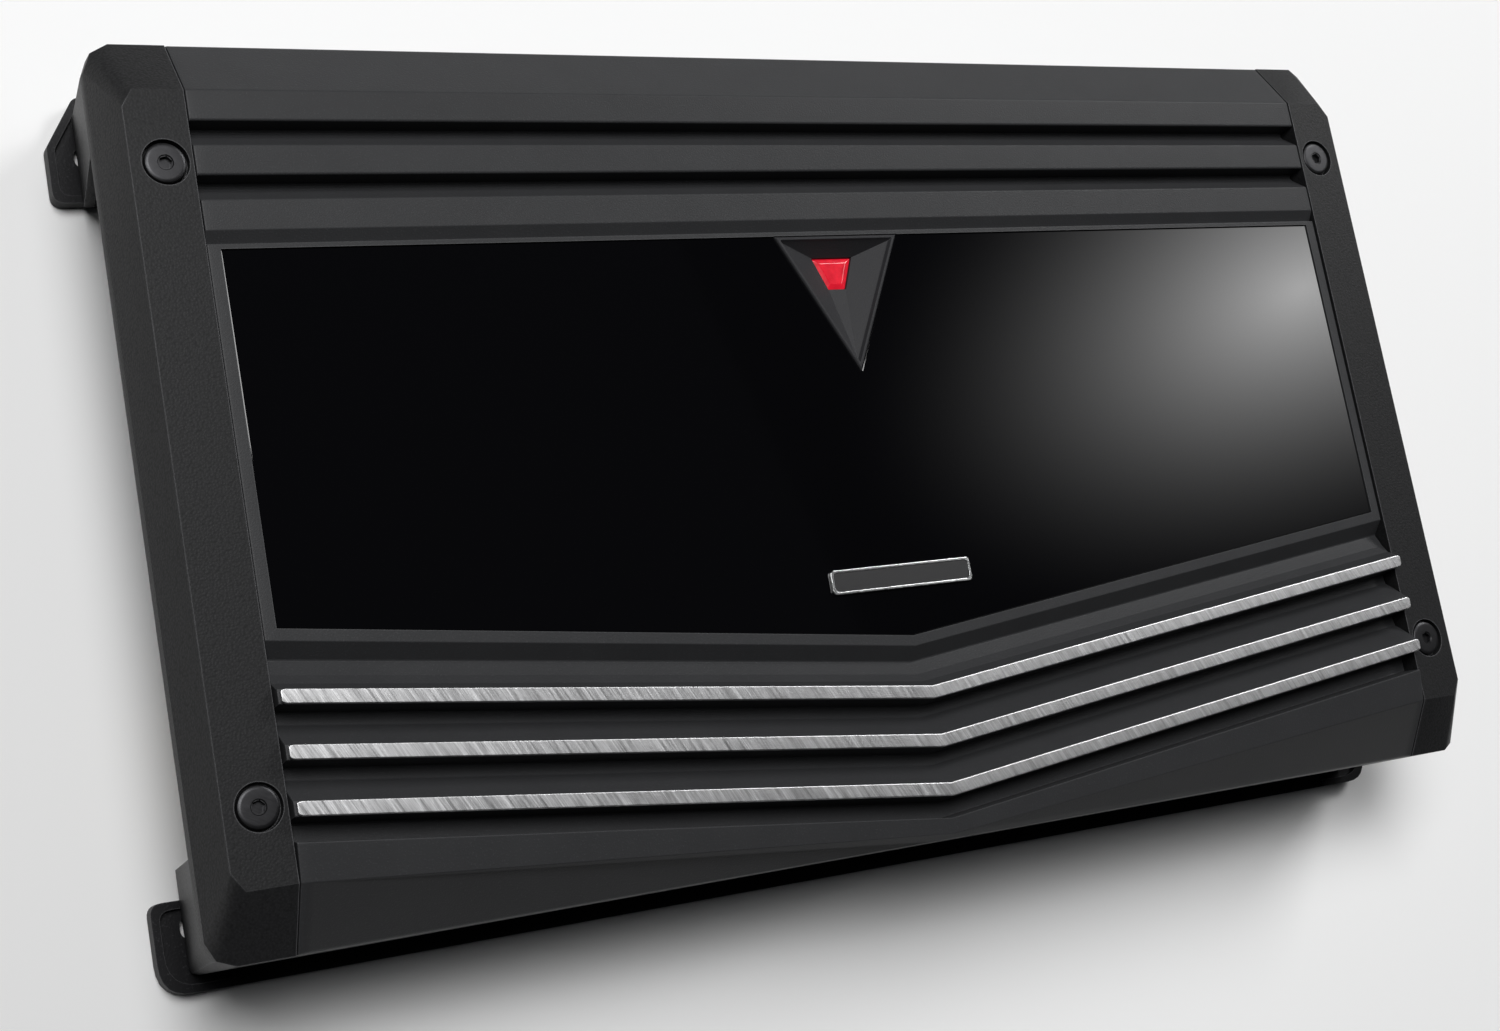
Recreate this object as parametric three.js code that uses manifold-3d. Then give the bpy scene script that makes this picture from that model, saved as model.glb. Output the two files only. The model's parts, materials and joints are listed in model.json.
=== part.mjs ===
// Car power amplifier: a die-cast heat sink on a steel base plate, closed by two moulded end caps.
// Millimetres, +Z up. X runs along the case, Y from the front (-) to the back (+).
// The origin is on the ground, in the middle of the base plate.

import * as THREE from "three";
import { mergeVertices } from "three/addons/utils/BufferGeometryUtils.js";
import Module from "manifold-3d";

const wasm = await Module();
wasm.setup();

// ---------- driving dimensions ----------

// case
const caseTop = 58; // flat top plane of the heat sink and the caps
const sinkHalfLength = 174.4; // heat sink, from the middle to either end
const wallHalfDepth = 110.8; // upright front and back walls
const chamferRun = 15.7; // front and back chamfers, along Y
const chamferDrop = 10.4; // and along Z
const castWall = 3.5; // upright walls of the casting
const castCrown = 9; // thickest part of the casting's top
const jointGap = 0.3; // between the heat sink and whatever closes it

// chevron that the front half of the top is drawn to
const windowBulge = 20.3; // how far the window's front edge is pushed forward in the middle
const ridgeBulge = 19.8; // the same for the three ridges and the front lip
const chamferBulge = 14.6; // the same for the front chamfer's upper edge

// cooling ribs behind the window
const ribPitch = 13.8;
const ribGroove = 6.2; // width of a groove's mouth
const ribDepth = 6;
const ribGrooves = 2;
const ribGrooveFloor = [
  // forward from the groove's back edge, and up from its floor
  [0.3, 0.6],
  [1.0, 0],
  [2.2, 0.8],
];
const rearRibWidth = 7.8; // flat between the back chamfer and the first groove

// window and its frame
const windowEndMargin = 3.2; // heat sink beyond the window's ends
const windowThickness = 2.6;
const windowSink = 1.0; // its face below the case top
const windowFit = 0.2; // play around it in its pocket
const frameSink = 0.6; // its frame below the case top
const frameWidth = 2.9; // in front of the window
const frameStep = 3; // slope from the last rib down to the frame
const frameBehind = 1.5; // behind the window
const frameUndercut = 1.4; // foot of that slope below the frame
const frameLead = 0.4; // from the foot of the slope to the frame's flat
const frameFoot = [
  // forward from the frame's front edge, and up from the floor of the grooves between the ridges
  [3.7, 0.8],
  [4.1, 0.6],
];

// ridges and the trim strips on them
const ridgePitch = 12.88;
const ridgeAhead = 14.7; // rear ridge's flat in front of the window's edge
const ridgeHeight = 2.8; // above the case top
const grooveDepth = 5; // below the case top
const stripWidth = 3.5;
const stripThickness = 1.2;
const stripNames = ["trim_strip_rear", "trim_strip_middle", "trim_strip_front"];
const stripEndInset = 0.6;
const ridgeFoot = [
  // forward from a ridge's front edge, and up from the groove's floor
  [0.8, 0.4],
  [1.3, 0],
];
const ridgeShoulder = [
  // back from the back edge of the ridge in front, and down from the case top
  [5.5, 4.6],
  [4.2, 2.6],
  [2.4, 0.2],
];
const rearShoulder = [
  [4.1, 2.4],
  [1.8, 0.6],
];

// front lip
const lipWidth = 9.2; // from its back edge to the front chamfer
const lipGroove = 5.64; // between the front strip and the lip
const lipHeight = 1.4;
const lipDraft = 0.5; // its back wall leans this far

// indicator
const bezelHalfWidth = 19.6;
const bezelReach = 38.5; // from the window's back edge to the tip
const bezelDepth = 7.2; // seat below the case top
const bezelRim = 1.3;
const bezelFit = 0.1;
const lensThickness = 1.4;
const lensHalfWidth = 6.4;
const lensTaper = 3.6; // how much narrower its front edge is, each side
const lensLength = 9;
const lensFromBack = 5;
const lampHoleRadius = 3.1;
const lampRadius = 2.6;
const lampSpacer = 2; // lamp board below the ceiling
const lampReach = 0.8; // lamp up into its hole
const lampBoardHalfLength = 11;
const lampBoardHalfWidth = 6;
const lampBoardThickness = 1.2;
const lampPostX = 8;
const lampPostRadius = 2;

// name plate
const plateLength = 44;
const plateWidth = 6.5;
const plateThickness = 0.8;
const plateBehind = 16.2; // its middle behind the window's front corner

// end caps
const capLength = 19.8; // along X
const capTopLength = 15.3; // up to the side chamfer
const capChamferDrop = 13;
const capBrow = 4; // upright side wall under the chamfer
const capFootInset = 6; // how far the side leans in towards the feet
const capWall = 3.2;
const capPost = 25.8; // closed corner beside the opening for the wires
const capScrewBehind = 18.3; // screw axis from the edge of the top plane
const capScrewInset = 7; // screw axis from the heat sink's end
const capScrewHeadRadius = 5;
const capScrewHeadHeight = 2.2;
const capScrewSink = 0.2; // head's top below the case top
const capScrewRadius = 2.4;
const capScrewLength = 8;
const hexSocket = 3; // across flats
const capCounterboreRadius = 5.7;
const lugHalfWidth = 6;
const lugRoot = 4; // lug's hold in the heat sink
const capScrewHoleFit = 0.4;
const hexSocketFloor = 0.4; // above the head's seat
const insideCorner = 0.55; // share of the wall that an inside corner moves along each face
const capCorner = [6, 6.3]; // upright corners seen from above: cut along X and along Y
const capTopCorner = [2.9, 4.5]; // the same at the flat top
const capBottomCorner = [2, 2]; // and at the bottom
const capCornerBend = 0.3; // share of the cut that the middle of an upright corner keeps
const capBulkhead = 2; // inner wall against the heat sink's end
const lugPlay = 0.5; // each side of a lug in that wall

// base plate and feet
const baseThickness = 3;
const baseFlange = 4.1; // in front of the front wall and behind the back wall
const baseSill = 1.4; // beyond the end panels' faces
const footOverhang = 1.3; // feet beyond the caps
const footThickness = 4;
const footRim = 2;
const footRecess = 1.8;
const footCornerRadius = 3;
const frontFootDepth = 22.6; // along Y
const frontFootRadius = 8;
const rearFootDepth = 28.6;
const rearFootCut = [8.3, 13.6]; // cut-off corner of a rear foot, along X and along Y
const footSlotWidth = 5.5;
const footSlotLength = 9;
const footSlotInset = 11.5; // slot's middle from the foot's outer edge
const footSlotFromEdge = 15.8; // and from the base plate's front or back edge
const footHold = 6; // foot's hold under the heat sink

// base screws and their bosses
const bossFromEnd = 16.4;
const bossFromWall = 8.3;
const bossRadius = 5.5;
const bossFin = 3;
const bossCrown = 5; // deeper part of the fin under the ceiling
const bossCrownHalf = 4;
const baseScrewHeadRadius = 3.5;
const baseScrewHeadHeight = 1.6;
const baseScrewSink = 0.2;
const baseScrewRadius = 1.75;
const baseScrewLength = 11;
const baseScrewFit = 0.3; // around its head
const baseScrewHoleFit = 0.4; // around its shank
const crossHalfLength = 2; // arms of the cross recess
const crossHalfWidth = 0.5;

// circuit board
const standoffHeight = 6;
const standoffRadius = 4;
const boardThickness = 1.6;
const boardFromEnd = 4.4;
const boardFromBoss = 5.5;
const standoffX = 120;
const standoffFromEdge = 10;

// end panels
const panelThickness = 2;
const panelFromWall = 4.3;
const panelClearance = 0.3; // around whatever passes through a panel
const partHeadroom = 6.4; // between the parts in a panel and the cap's brow

// power end
const terminalPitch = 17;
const terminalWall = 2; // partitions between the bays
const terminalSill = 3; // under the bays
const terminalTail = 16; // part of the block behind the bays
const terminalScrewRadius = 2.2;
const terminalScrewHead = 4.6;
const terminalScrewHeadHeight = 2.6;
const terminalScrewLength = 11;
const terminalScrewTravel = 4; // how far a screw backs out
const terminalCover = 5.1; // bay in front of a screw that is fully out
const fuseCount = 3;
const fusePitch = 11;
const fuseHeight = 19; // across the two blades
const fuseThickness = 5.1;
const fuseBody = 11; // along the pull
const fuseBladeWidth = 5.2;
const fuseBladeThickness = 0.8;
const fuseBladeLength = 7;
const fuseBladeFit = 0.3;
const fuseHolderFront = 4; // holder's face beyond the panel's face
const fuseHolderDepth = 22;

// control end
const shaftHeight = 10; // shaft axis above the board
const controlBody = 11; // width of a control's body
const controlBodyDepth = 9;
const controlSetback = 1; // control bodies behind the panel
const knobRadius = 3.2;
const knobReach = 4.5; // beyond the panel's face
const knobHoleFit = 0.5;
const knobStubRadius = 1.6;
const knobStubLength = 4;
const screwFit = 0.1; // play around a shaft or a screw in its hole
const switchWidth = 12;
const switchDepth = 7;
const switchTravel = 4;
const leverSize = 3;
const leverReach = 2.4;
const leverDepth = 2.6; // lever inside its switch
const leverFit = 0.3;
const inputPitch = 18;
const inputRadius = 4.2;
const inputReach = 9;
const inputMargin = 9; // block beyond the outer sockets' axes
const inputRaise = 2; // socket axis above the shafts' height
const inputSeat = 6; // socket inside its block
const jackWidth = 14;
const jackHeight = 13;
const jackDepth = 14;

// parts on the board
const capacitorRadius = 11;
const capacitorHeadroom = 4.4;
const capacitorXs = [-20, 6, 32];
const capacitorY = -40;
const toroidY = -30;
const transformerFromEnd = 60; // its middle from the board's right end
const transformerRing = 22;
const transformerTube = 9.5;
const inductorFromEnd = 50; // its middle from the board's left end
const inductorRing = 15;
const inductorTube = 7;
const transistorXs = [-72, -48, -24, 0];
const transistorWidth = 15;
const transistorThickness = 4.8;
const transistorHeight = 20;
const transistorBody = 15; // moulded part, above the legs
const webFromEdge = 8; // casting's inner web, from the board's back edge
const webThickness = 5;
const webHalfLength = 92;
const webClearance = 4; // web's lower edge above the board
const clampThickness = 2.5;
const clampHeight = 9;

// ---------- derived places ----------

const topHalfDepth = wallHalfDepth - chamferRun;
const firstGroove = topHalfDepth - rearRibWidth;
const lastRibFront = firstGroove - ribGrooves * ribPitch;
const frameBack = lastRibFront - frameStep;
const windowBack = frameBack - frameBehind;
const windowHalfLength = sinkHalfLength - windowEndMargin;
const lipBack = lipWidth - topHalfDepth;
const ridgeBack = lipBack + lipGroove + stripWidth + (stripNames.length - 1) * ridgePitch;
const windowFront = ridgeBack + ridgeAhead; // at its two ends
const windowBottom = caseTop - windowSink - windowThickness;
const lensBack = windowBack - lensFromBack;
const lensMiddle = lensBack - lensLength / 2;

const sinkBottom = baseThickness + jointGap;
const ceiling = caseTop - castCrown;
const innerHalfDepth = wallHalfDepth - castWall;

const capInner = sinkHalfLength + jointGap; // face of a cap towards the heat sink
const capOuter = capInner + capLength;
const capShoulder = caseTop - capChamferDrop;
const capBrowBottom = capShoulder - capBrow;
const capBottom = footThickness + jointGap;
const capOpeningHalf = wallHalfDepth - capPost;
const capScrewX = sinkHalfLength + capScrewInset;
const capScrewY = topHalfDepth - capScrewBehind;
const capScrewSeat = caseTop - capScrewHeadHeight - capScrewSink;
const lugTop = caseTop - capWall - jointGap;

const panelInner = sinkHalfLength + 2 * jointGap;
const panelFace = panelInner + panelThickness;
const panelTop = ceiling - jointGap;
const panelHalfDepth = innerHalfDepth - panelFromWall;

const baseHalfDepth = wallHalfDepth + baseFlange;
const footHalfLength = capOuter + footOverhang;
const bossX = sinkHalfLength - bossFromEnd;
const bossY = innerHalfDepth - bossFromWall;

const boardBottom = baseThickness + standoffHeight;
const boardTop = boardBottom + boardThickness;
const boardHalfLength = sinkHalfLength - boardFromEnd;
const boardHalfDepth = bossY - bossRadius - boardFromBoss;
const standoffY = boardHalfDepth - standoffFromEdge;
const webY = boardHalfDepth - webFromEdge; // face that the transistors press on
const capacitorHeight = ceiling - boardTop - capacitorHeadroom;

// ---------- shape helpers ----------

// A closed three.js geometry as a solid that can be joined and cut.
function solid(geometry) {
  const shell = geometry.clone();
  shell.deleteAttribute("normal");
  shell.deleteAttribute("uv");
  const merged = mergeVertices(shell, 1e-4);
  return new wasm.Manifold(
    new wasm.Mesh({
      numProp: 3,
      vertProperties: merged.attributes.position.array,
      triVerts: new Uint32Array(merged.index.array),
    }),
  );
}

// The solid's surface as a three.js geometry.
function geometryOf(body) {
  const mesh = body.getMesh();
  const corners = new Float32Array(mesh.numVert * 3);
  for (let i = 0; i < mesh.numVert; i++) {
    const start = i * mesh.numProp;
    corners.set(mesh.vertProperties.subarray(start, start + 3), i * 3);
  }
  const geometry = new THREE.BufferGeometry();
  geometry.setAttribute("position", new THREE.BufferAttribute(corners, 3));
  geometry.setIndex(new THREE.BufferAttribute(mesh.triVerts, 1));
  const faceted = geometry.toNonIndexed();
  faceted.computeVertexNormals();
  return faceted;
}

function outline(points) {
  return new THREE.Shape(points.map(([a, b]) => new THREE.Vector2(a, b)));
}

// An outline in Y and Z, drawn along X. Stations are extra sections on the way.
function alongX(points, x0, x1, stations = 1) {
  const options = { depth: x1 - x0, bevelEnabled: false, steps: stations };
  const geometry = new THREE.ExtrudeGeometry(outline(points), options);
  const turn = new THREE.Matrix4().makeBasis(
    new THREE.Vector3(0, 1, 0),
    new THREE.Vector3(0, 0, 1),
    new THREE.Vector3(1, 0, 0),
  );
  return geometry.applyMatrix4(turn).translate(x0, 0, 0);
}

// An outline in X and Y, drawn along Z.
function alongZ(points, z0, z1) {
  const shape = Array.isArray(points) ? outline(points) : points;
  const options = { depth: z1 - z0, bevelEnabled: false, curveSegments: 5 };
  return new THREE.ExtrudeGeometry(shape, options).translate(0, 0, z0);
}

function box(x0, x1, y0, y1, z0, z1) {
  const geometry = new THREE.BoxGeometry(x1 - x0, y1 - y0, z1 - z0);
  return geometry.translate((x0 + x1) / 2, (y0 + y1) / 2, (z0 + z1) / 2);
}

// A round bar along +Z or +X, from a to b.
function barZ(radius, x, y, a, b, sides = 20) {
  const geometry = new THREE.CylinderGeometry(radius, radius, b - a, sides);
  return geometry.rotateX(Math.PI / 2).translate(x, y, (a + b) / 2);
}

function barX(radius, y, z, a, b, sides = 20) {
  const geometry = new THREE.CylinderGeometry(radius, radius, b - a, sides);
  return geometry.rotateZ(Math.PI / 2).translate((a + b) / 2, y, z);
}

function join(first, ...others) {
  return others.reduce((sum, next) => sum.add(solid(next)), solid(first));
}

function cut(body, ...tools) {
  return tools.reduce((left, tool) => left.subtract(solid(tool)), body);
}

// ---------- materials ----------

function finish(color, roughness, metalness) {
  return new THREE.MeshStandardMaterial({ color, roughness, metalness });
}

const finishes = {
  powderCoat: finish(0x1b1c1f, 0.62, 0.2),
  brushed: finish(0xb9babc, 0.35, 0.95),
  acrylic: finish(0x050506, 0.06, 0.0),
  grain: finish(0x17181a, 0.7, 0.0),
  bezel: finish(0x2a2b2e, 0.6, 0.0),
  redLens: finish(0xc00818, 0.15, 0.0),
  blackScrew: finish(0x101113, 0.35, 0.8),
  steel: finish(0x222326, 0.5, 0.6),
  plate: finish(0xd5d6d8, 0.25, 0.9),
  blackPlastic: finish(0x0e0e10, 0.45, 0.0),
  zinc: finish(0xc9cacc, 0.35, 0.9),
  gold: finish(0xd0a040, 0.3, 1.0),
  fusePlastic: finish(0xe08a1c, 0.25, 0.0),
  board: finish(0x14532d, 0.5, 0.0),
  copper: finish(0xa8562a, 0.4, 0.7),
  sleeve: finish(0x16181d, 0.4, 0.0),
};

const amplifier = new THREE.Group();

function piece(name, geometry, material, parent = amplifier) {
  const mesh = new THREE.Mesh(geometry, material);
  mesh.name = name;
  parent.add(mesh);
  return mesh;
}

// ---------- chevron ----------

// How far a point is pushed forward in the middle of the case, from its place at the ends.
function bulgeAt(y) {
  const stops = [
    [windowBack, 0],
    [windowFront, windowBulge],
    [ridgeBack, ridgeBulge],
    [lipBack, ridgeBulge],
    [-topHalfDepth, chamferBulge],
    [-wallHalfDepth, 0],
  ];
  if (y >= stops[0][0]) return 0;
  for (let i = 1; i < stops.length; i++) {
    const [near, far] = [stops[i - 1], stops[i]];
    if (y < far[0]) continue;
    const share = (near[0] - y) / (near[0] - far[0]);
    return near[1] + share * (far[1] - near[1]);
  }
  return 0;
}

function drawChevron(geometry) {
  const place = geometry.attributes.position;
  for (let i = 0; i < place.count; i++) {
    const share = 1 - Math.abs(place.getX(i)) / sinkHalfLength;
    place.setY(i, place.getY(i) - share * bulgeAt(place.getY(i)));
  }
  return geometry;
}

// ---------- heat sink ----------

// The section's upper side, from the back wall to the front wall, as it is at the case's ends.
function crownSection() {
  const grooveFloor = caseTop - grooveDepth;
  const points = [
    [wallHalfDepth, caseTop - chamferDrop],
    [topHalfDepth, caseTop],
  ];
  for (let i = 0; i < ribGrooves; i++) {
    const edge = firstGroove - i * ribPitch;
    points.push([edge, caseTop]);
    for (const [ahead, up] of ribGrooveFloor) points.push([edge - ahead, caseTop - ribDepth + up]);
    points.push([edge - ribGroove, caseTop]);
  }
  points.push([lastRibFront, caseTop]);
  points.push([frameBack, caseTop - frameSink - frameUndercut]);
  points.push([frameBack - frameLead, caseTop - frameSink]);

  const frameFront = windowFront - frameWidth;
  points.push([frameFront, caseTop - frameSink]);
  for (const [ahead, up] of frameFoot) points.push([frameFront - ahead, grooveFloor + up]);
  for (const [behind, down] of rearShoulder) points.push([ridgeBack + behind, caseTop - down]);

  stripNames.forEach((_, i) => {
    const back = ridgeBack - i * ridgePitch;
    const front = back - stripWidth;
    points.push([back, caseTop + ridgeHeight]);
    points.push([front, caseTop + ridgeHeight]);
    for (const [ahead, up] of ridgeFoot) points.push([front - ahead, grooveFloor + up]);
    if (i === stripNames.length - 1) return;
    const next = back - ridgePitch;
    for (const [behind, down] of ridgeShoulder) points.push([next + behind, caseTop - down]);
  });
  points.push([lipBack + lipDraft, grooveFloor]);
  points.push([lipBack, caseTop + lipHeight]);
  points.push([-topHalfDepth, caseTop]);
  points.push([-wallHalfDepth, caseTop - chamferDrop]);
  return points;
}

function windowOutline(clearance) {
  const half = windowHalfLength + clearance;
  const tip = windowFront - windowBulge - clearance;
  const front = windowFront - windowBulge * (1 - windowHalfLength / sinkHalfLength) - clearance;
  return [
    [-half, windowBack + clearance],
    [-half, front],
    [0, tip],
    [half, front],
    [half, windowBack + clearance],
  ];
}

function bezelOutline(clearance) {
  const back = windowBack + clearance;
  return [
    [-bezelHalfWidth - clearance, back],
    [0, windowBack - bezelReach - 2 * clearance],
    [bezelHalfWidth + clearance, back],
  ];
}

function lensOutline(clearance) {
  return [
    [-lensHalfWidth - clearance, lensBack + clearance],
    [-lensHalfWidth + lensTaper - clearance, lensBack - lensLength - clearance],
    [lensHalfWidth - lensTaper + clearance, lensBack - lensLength - clearance],
    [lensHalfWidth + clearance, lensBack + clearance],
  ];
}

function corners(x, y) {
  return [
    [-x, -y],
    [x, -y],
    [-x, y],
    [x, y],
  ];
}

function buildHeatSink() {
  const section = crownSection();
  section.push([-wallHalfDepth, sinkBottom], [wallHalfDepth, sinkBottom]);
  const skin = drawChevron(alongX(section, -sinkHalfLength, sinkHalfLength, 2));

  const slope = chamferDrop - castWall;
  const room = alongX(
    [
      [-innerHalfDepth, sinkBottom - 1],
      [innerHalfDepth, sinkBottom - 1],
      [innerHalfDepth, ceiling - slope],
      [innerHalfDepth - slope - castWall, ceiling],
      [-innerHalfDepth + slope + castWall, ceiling],
      [-innerHalfDepth, ceiling - slope],
    ],
    -sinkHalfLength - 1,
    sinkHalfLength + 1,
  );
  let body = cut(
    solid(skin),
    room,
    alongZ(windowOutline(windowFit), windowBottom, caseTop + 1),
    alongZ(bezelOutline(bezelFit), caseTop - bezelDepth, caseTop + 1),
    barZ(lampHoleRadius, 0, lensMiddle, ceiling - 1, caseTop),
  );

  for (const [x, y] of corners(bossX, bossY)) {
    const side = Math.sign(y);
    const rootY = side * (innerHalfDepth + 1);
    body = body.add(solid(barZ(bossRadius, x, y, sinkBottom, ceiling - 1)));
    const [low, high] = [Math.min(y, rootY), Math.max(y, rootY)];
    const [left, right] = [x - bossFin / 2, x + bossFin / 2];
    const deep = ceiling - bossCrown;
    const fin = box(left, right, low, high, sinkBottom, deep);
    const crown = box(left, right, y - bossCrownHalf, y + bossCrownHalf, deep, ceiling + 1);
    body = body.add(solid(fin)).add(solid(crown));
    const drill = barZ(baseScrewRadius + screwFit, x, y, 0, baseScrewLength + 2);
    body = body.subtract(solid(drill));
  }

  const webBottom = boardTop + webClearance;
  const web = box(-webHalfLength, webHalfLength, webY, webY + webThickness, webBottom, ceiling + 1);
  body = body.add(solid(web));

  for (const x of [-lampPostX, lampPostX]) {
    const post = barZ(lampPostRadius, x, lensMiddle, ceiling - lampSpacer, ceiling + 1, 12);
    body = body.add(solid(post));
  }

  for (const [x, y] of corners(capScrewX, capScrewY)) {
    const side = Math.sign(x);
    const [near, far] = [side * (sinkHalfLength - lugRoot), x + side * capScrewHeadRadius];
    const [low, high] = [Math.min(near, far), Math.max(near, far)];
    const lug = box(low, high, y - lugHalfWidth, y + lugHalfWidth, ceiling + jointGap, lugTop);
    const drill = barZ(capScrewRadius + screwFit, x, y, ceiling - 1, caseTop);
    body = body.add(solid(lug)).subtract(solid(drill));
  }
  return body;
}

piece("heat_sink", geometryOf(buildHeatSink()), finishes.powderCoat);

// ---------- trim strips, window, indicator and name plate ----------

stripNames.forEach((name, i) => {
  const back = ridgeBack - i * ridgePitch;
  const seat = caseTop + ridgeHeight;
  const section = [
    [back, seat],
    [back, seat + stripThickness],
    [back - stripWidth, seat + stripThickness],
    [back - stripWidth, seat],
  ];
  const half = sinkHalfLength - stripEndInset;
  piece(name, drawChevron(alongX(section, -half, half, 2)), finishes.brushed);
});

const windowSlab = solid(alongZ(windowOutline(0), windowBottom, caseTop - windowSink));
const windowBody = cut(windowSlab, alongZ(bezelOutline(bezelFit), windowBottom - 1, caseTop));
piece("window_panel", geometryOf(windowBody), finishes.acrylic);

// The bezel's well narrows from its rim to the lens.
function buildBezelWell() {
  const top = bezelOutline(-bezelRim);
  const low = lensOutline(bezelFit);
  const [z0, z1] = [caseTop - bezelDepth + lensThickness, caseTop - frameSink];
  const points = [];
  for (const [x, y] of low) points.push(new THREE.Vector3(x, y, z0));
  const rim = [top[0], top[1], top[1], top[2]];
  for (const [x, y] of rim) points.push(new THREE.Vector3(x, y, z1));
  const tri = (a, b, c) => [points[a], points[b], points[c]];
  const faces = [
    ...tri(0, 3, 2),
    ...tri(0, 2, 1),
    ...tri(4, 5, 7),
    ...tri(0, 1, 5),
    ...tri(0, 5, 4),
    ...tri(1, 2, 5),
    ...tri(2, 3, 7),
    ...tri(2, 7, 5),
    ...tri(3, 0, 4),
    ...tri(3, 4, 7),
  ];
  return new THREE.BufferGeometry().setFromPoints(faces);
}

const bezelSlab = solid(alongZ(bezelOutline(0), caseTop - bezelDepth, caseTop - frameSink));
const bezelBody = cut(
  bezelSlab,
  buildBezelWell(),
  alongZ(lensOutline(bezelFit), caseTop - bezelDepth - 1, caseTop - bezelDepth + lensThickness + 0.1),
);
piece("indicator_bezel", geometryOf(bezelBody), finishes.bezel);

const lens = alongZ(lensOutline(0), 0, lensThickness);
piece("indicator_lens", lens, finishes.redLens).position.z = caseTop - bezelDepth;

const namePlate = piece(
  "name_plate",
  box(-plateLength / 2, plateLength / 2, -plateWidth / 2, plateWidth / 2, 0, plateThickness),
  finishes.plate,
);
namePlate.position.set(0, windowFront - windowBulge + plateBehind, caseTop - windowSink);

// ---------- end caps ----------

// An upright corner at (x, y), cut off in two bent faces, from its back to its side.
function cornerPoints(x, y, [cutX, cutY], heights) {
  const [back, middle, side] = heights;
  return [
    [x - cutX, y, back],
    [x - cutX * capCornerBend, y - cutY * capCornerBend, middle],
    [x, y - cutY, side],
  ];
}

// The cap's outside, or its inside when the wall is taken off.
function capShape(wall) {
  const shoulder = wall * insideCorner;
  const start = capInner - wall;
  const side = capOuter - wall;
  const wallY = wallHalfDepth - wall;
  const floor = capBottom - wall;
  const top = caseTop - wall;
  const topX = capInner + capTopLength - shoulder;
  const topY = topHalfDepth - shoulder;
  const backEdge = caseTop - chamferDrop - shoulder;
  const sideEdge = capShoulder - shoulder;
  const bend = (backEdge + sideEdge) / 2;
  const half = [
    [start, wallY, floor],
    [start, wallY, backEdge],
    [start, topY, top],
    [topX - capTopCorner[0], topY, top],
    [topX, topY - capTopCorner[1], top],
    ...cornerPoints(side - capFootInset, wallY, capBottomCorner, [floor, floor, floor]),
    ...cornerPoints(side, wallY, capCorner, [capBrowBottom, capBrowBottom, capBrowBottom]),
    ...cornerPoints(side, wallY, capCorner, [backEdge, bend, sideEdge]),
  ];
  return wasm.Manifold.hull([...half, ...half.map(([x, y, z]) => [x, -y, z])]);
}

// The inner wall against the heat sink's end, notched for the two lugs.
function buildBulkhead() {
  const foot = panelTop + 2 * jointGap;
  const slab = box(capInner, capInner + capBulkhead, -wallHalfDepth, wallHalfDepth, foot, caseTop);
  const reach = lugHalfWidth + lugPlay;
  const notches = [-capScrewY, capScrewY].map((y) =>
    box(capInner - 1, capInner + capBulkhead + 1, y - reach, y + reach, foot - 1, lugTop + jointGap),
  );
  return cut(solid(slab).intersect(capShape(capBulkhead / 2)), ...notches);
}

function buildCap() {
  const floor = capBottom - 1;
  const opening = box(capInner + 1, capOuter + 1, -capOpeningHalf, capOpeningHalf, floor, capBrowBottom);
  let body = cut(capShape(0).subtract(capShape(capWall)).add(buildBulkhead()), opening);
  for (const y of [-capScrewY, capScrewY]) {
    const hole = barZ(capScrewRadius + capScrewHoleFit, capScrewX, y, lugTop - 1, caseTop + 1);
    const seat = barZ(capCounterboreRadius, capScrewX, y, capScrewSeat, caseTop + 1, 28);
    body = cut(body, hole, seat);
  }
  return body;
}

const capGeometry = geometryOf(buildCap());
piece("end_cap_right", capGeometry, finishes.grain);
piece("end_cap_left", capGeometry, finishes.grain).rotation.z = Math.PI;

function buildCapScrew() {
  const head = barZ(capScrewHeadRadius, 0, 0, 0, capScrewHeadHeight, 28);
  const shank = barZ(capScrewRadius, 0, 0, -capScrewLength, 0.1);
  const socketRadius = hexSocket / Math.sqrt(3);
  const socket = barZ(socketRadius, 0, 0, hexSocketFloor, capScrewHeadHeight + 1, 6);
  return geometryOf(cut(join(head, shank), socket));
}

const capScrewGeometry = buildCapScrew();
const cornerNames = ["front_left", "front_right", "rear_left", "rear_right"];
corners(capScrewX, capScrewY).forEach(([x, y], i) => {
  const screw = piece("cap_screw_" + cornerNames[i], capScrewGeometry, finishes.blackScrew);
  screw.position.set(x, y, capScrewSeat);
});

// ---------- base plate ----------

// A front foot's outline on the right-hand side, or a rear foot's.
function footOutline(rear, inset) {
  const shape = new THREE.Shape();
  const inner = sinkHalfLength - footHold;
  const outer = footHalfLength - inset;
  const edge = baseHalfDepth - inset;
  const corner = footCornerRadius;
  if (rear) {
    const near = baseHalfDepth - rearFootDepth + inset;
    const [run, rise] = rearFootCut;
    const slant = Math.hypot(run, rise);
    const cutX = footHalfLength - run - (inset * (slant - run)) / rise;
    const cutY = baseHalfDepth - rise - (inset * (slant - rise)) / run;
    shape.moveTo(inner, near).lineTo(outer - corner, near);
    shape.absarc(outer - corner, near + corner, corner, -Math.PI / 2, 0, false);
    shape.lineTo(outer, cutY).lineTo(cutX, edge).lineTo(inner, edge);
    return shape;
  }
  const near = -baseHalfDepth + frontFootDepth - inset;
  const round = frontFootRadius - inset;
  shape.moveTo(inner, near).lineTo(inner, -edge).lineTo(outer - round, -edge);
  shape.absarc(outer - round, -edge + round, round, -Math.PI / 2, 0, false);
  shape.lineTo(outer, near - corner);
  shape.absarc(outer - corner, near - corner, corner, 0, Math.PI / 2, false);
  return shape;
}

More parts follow.
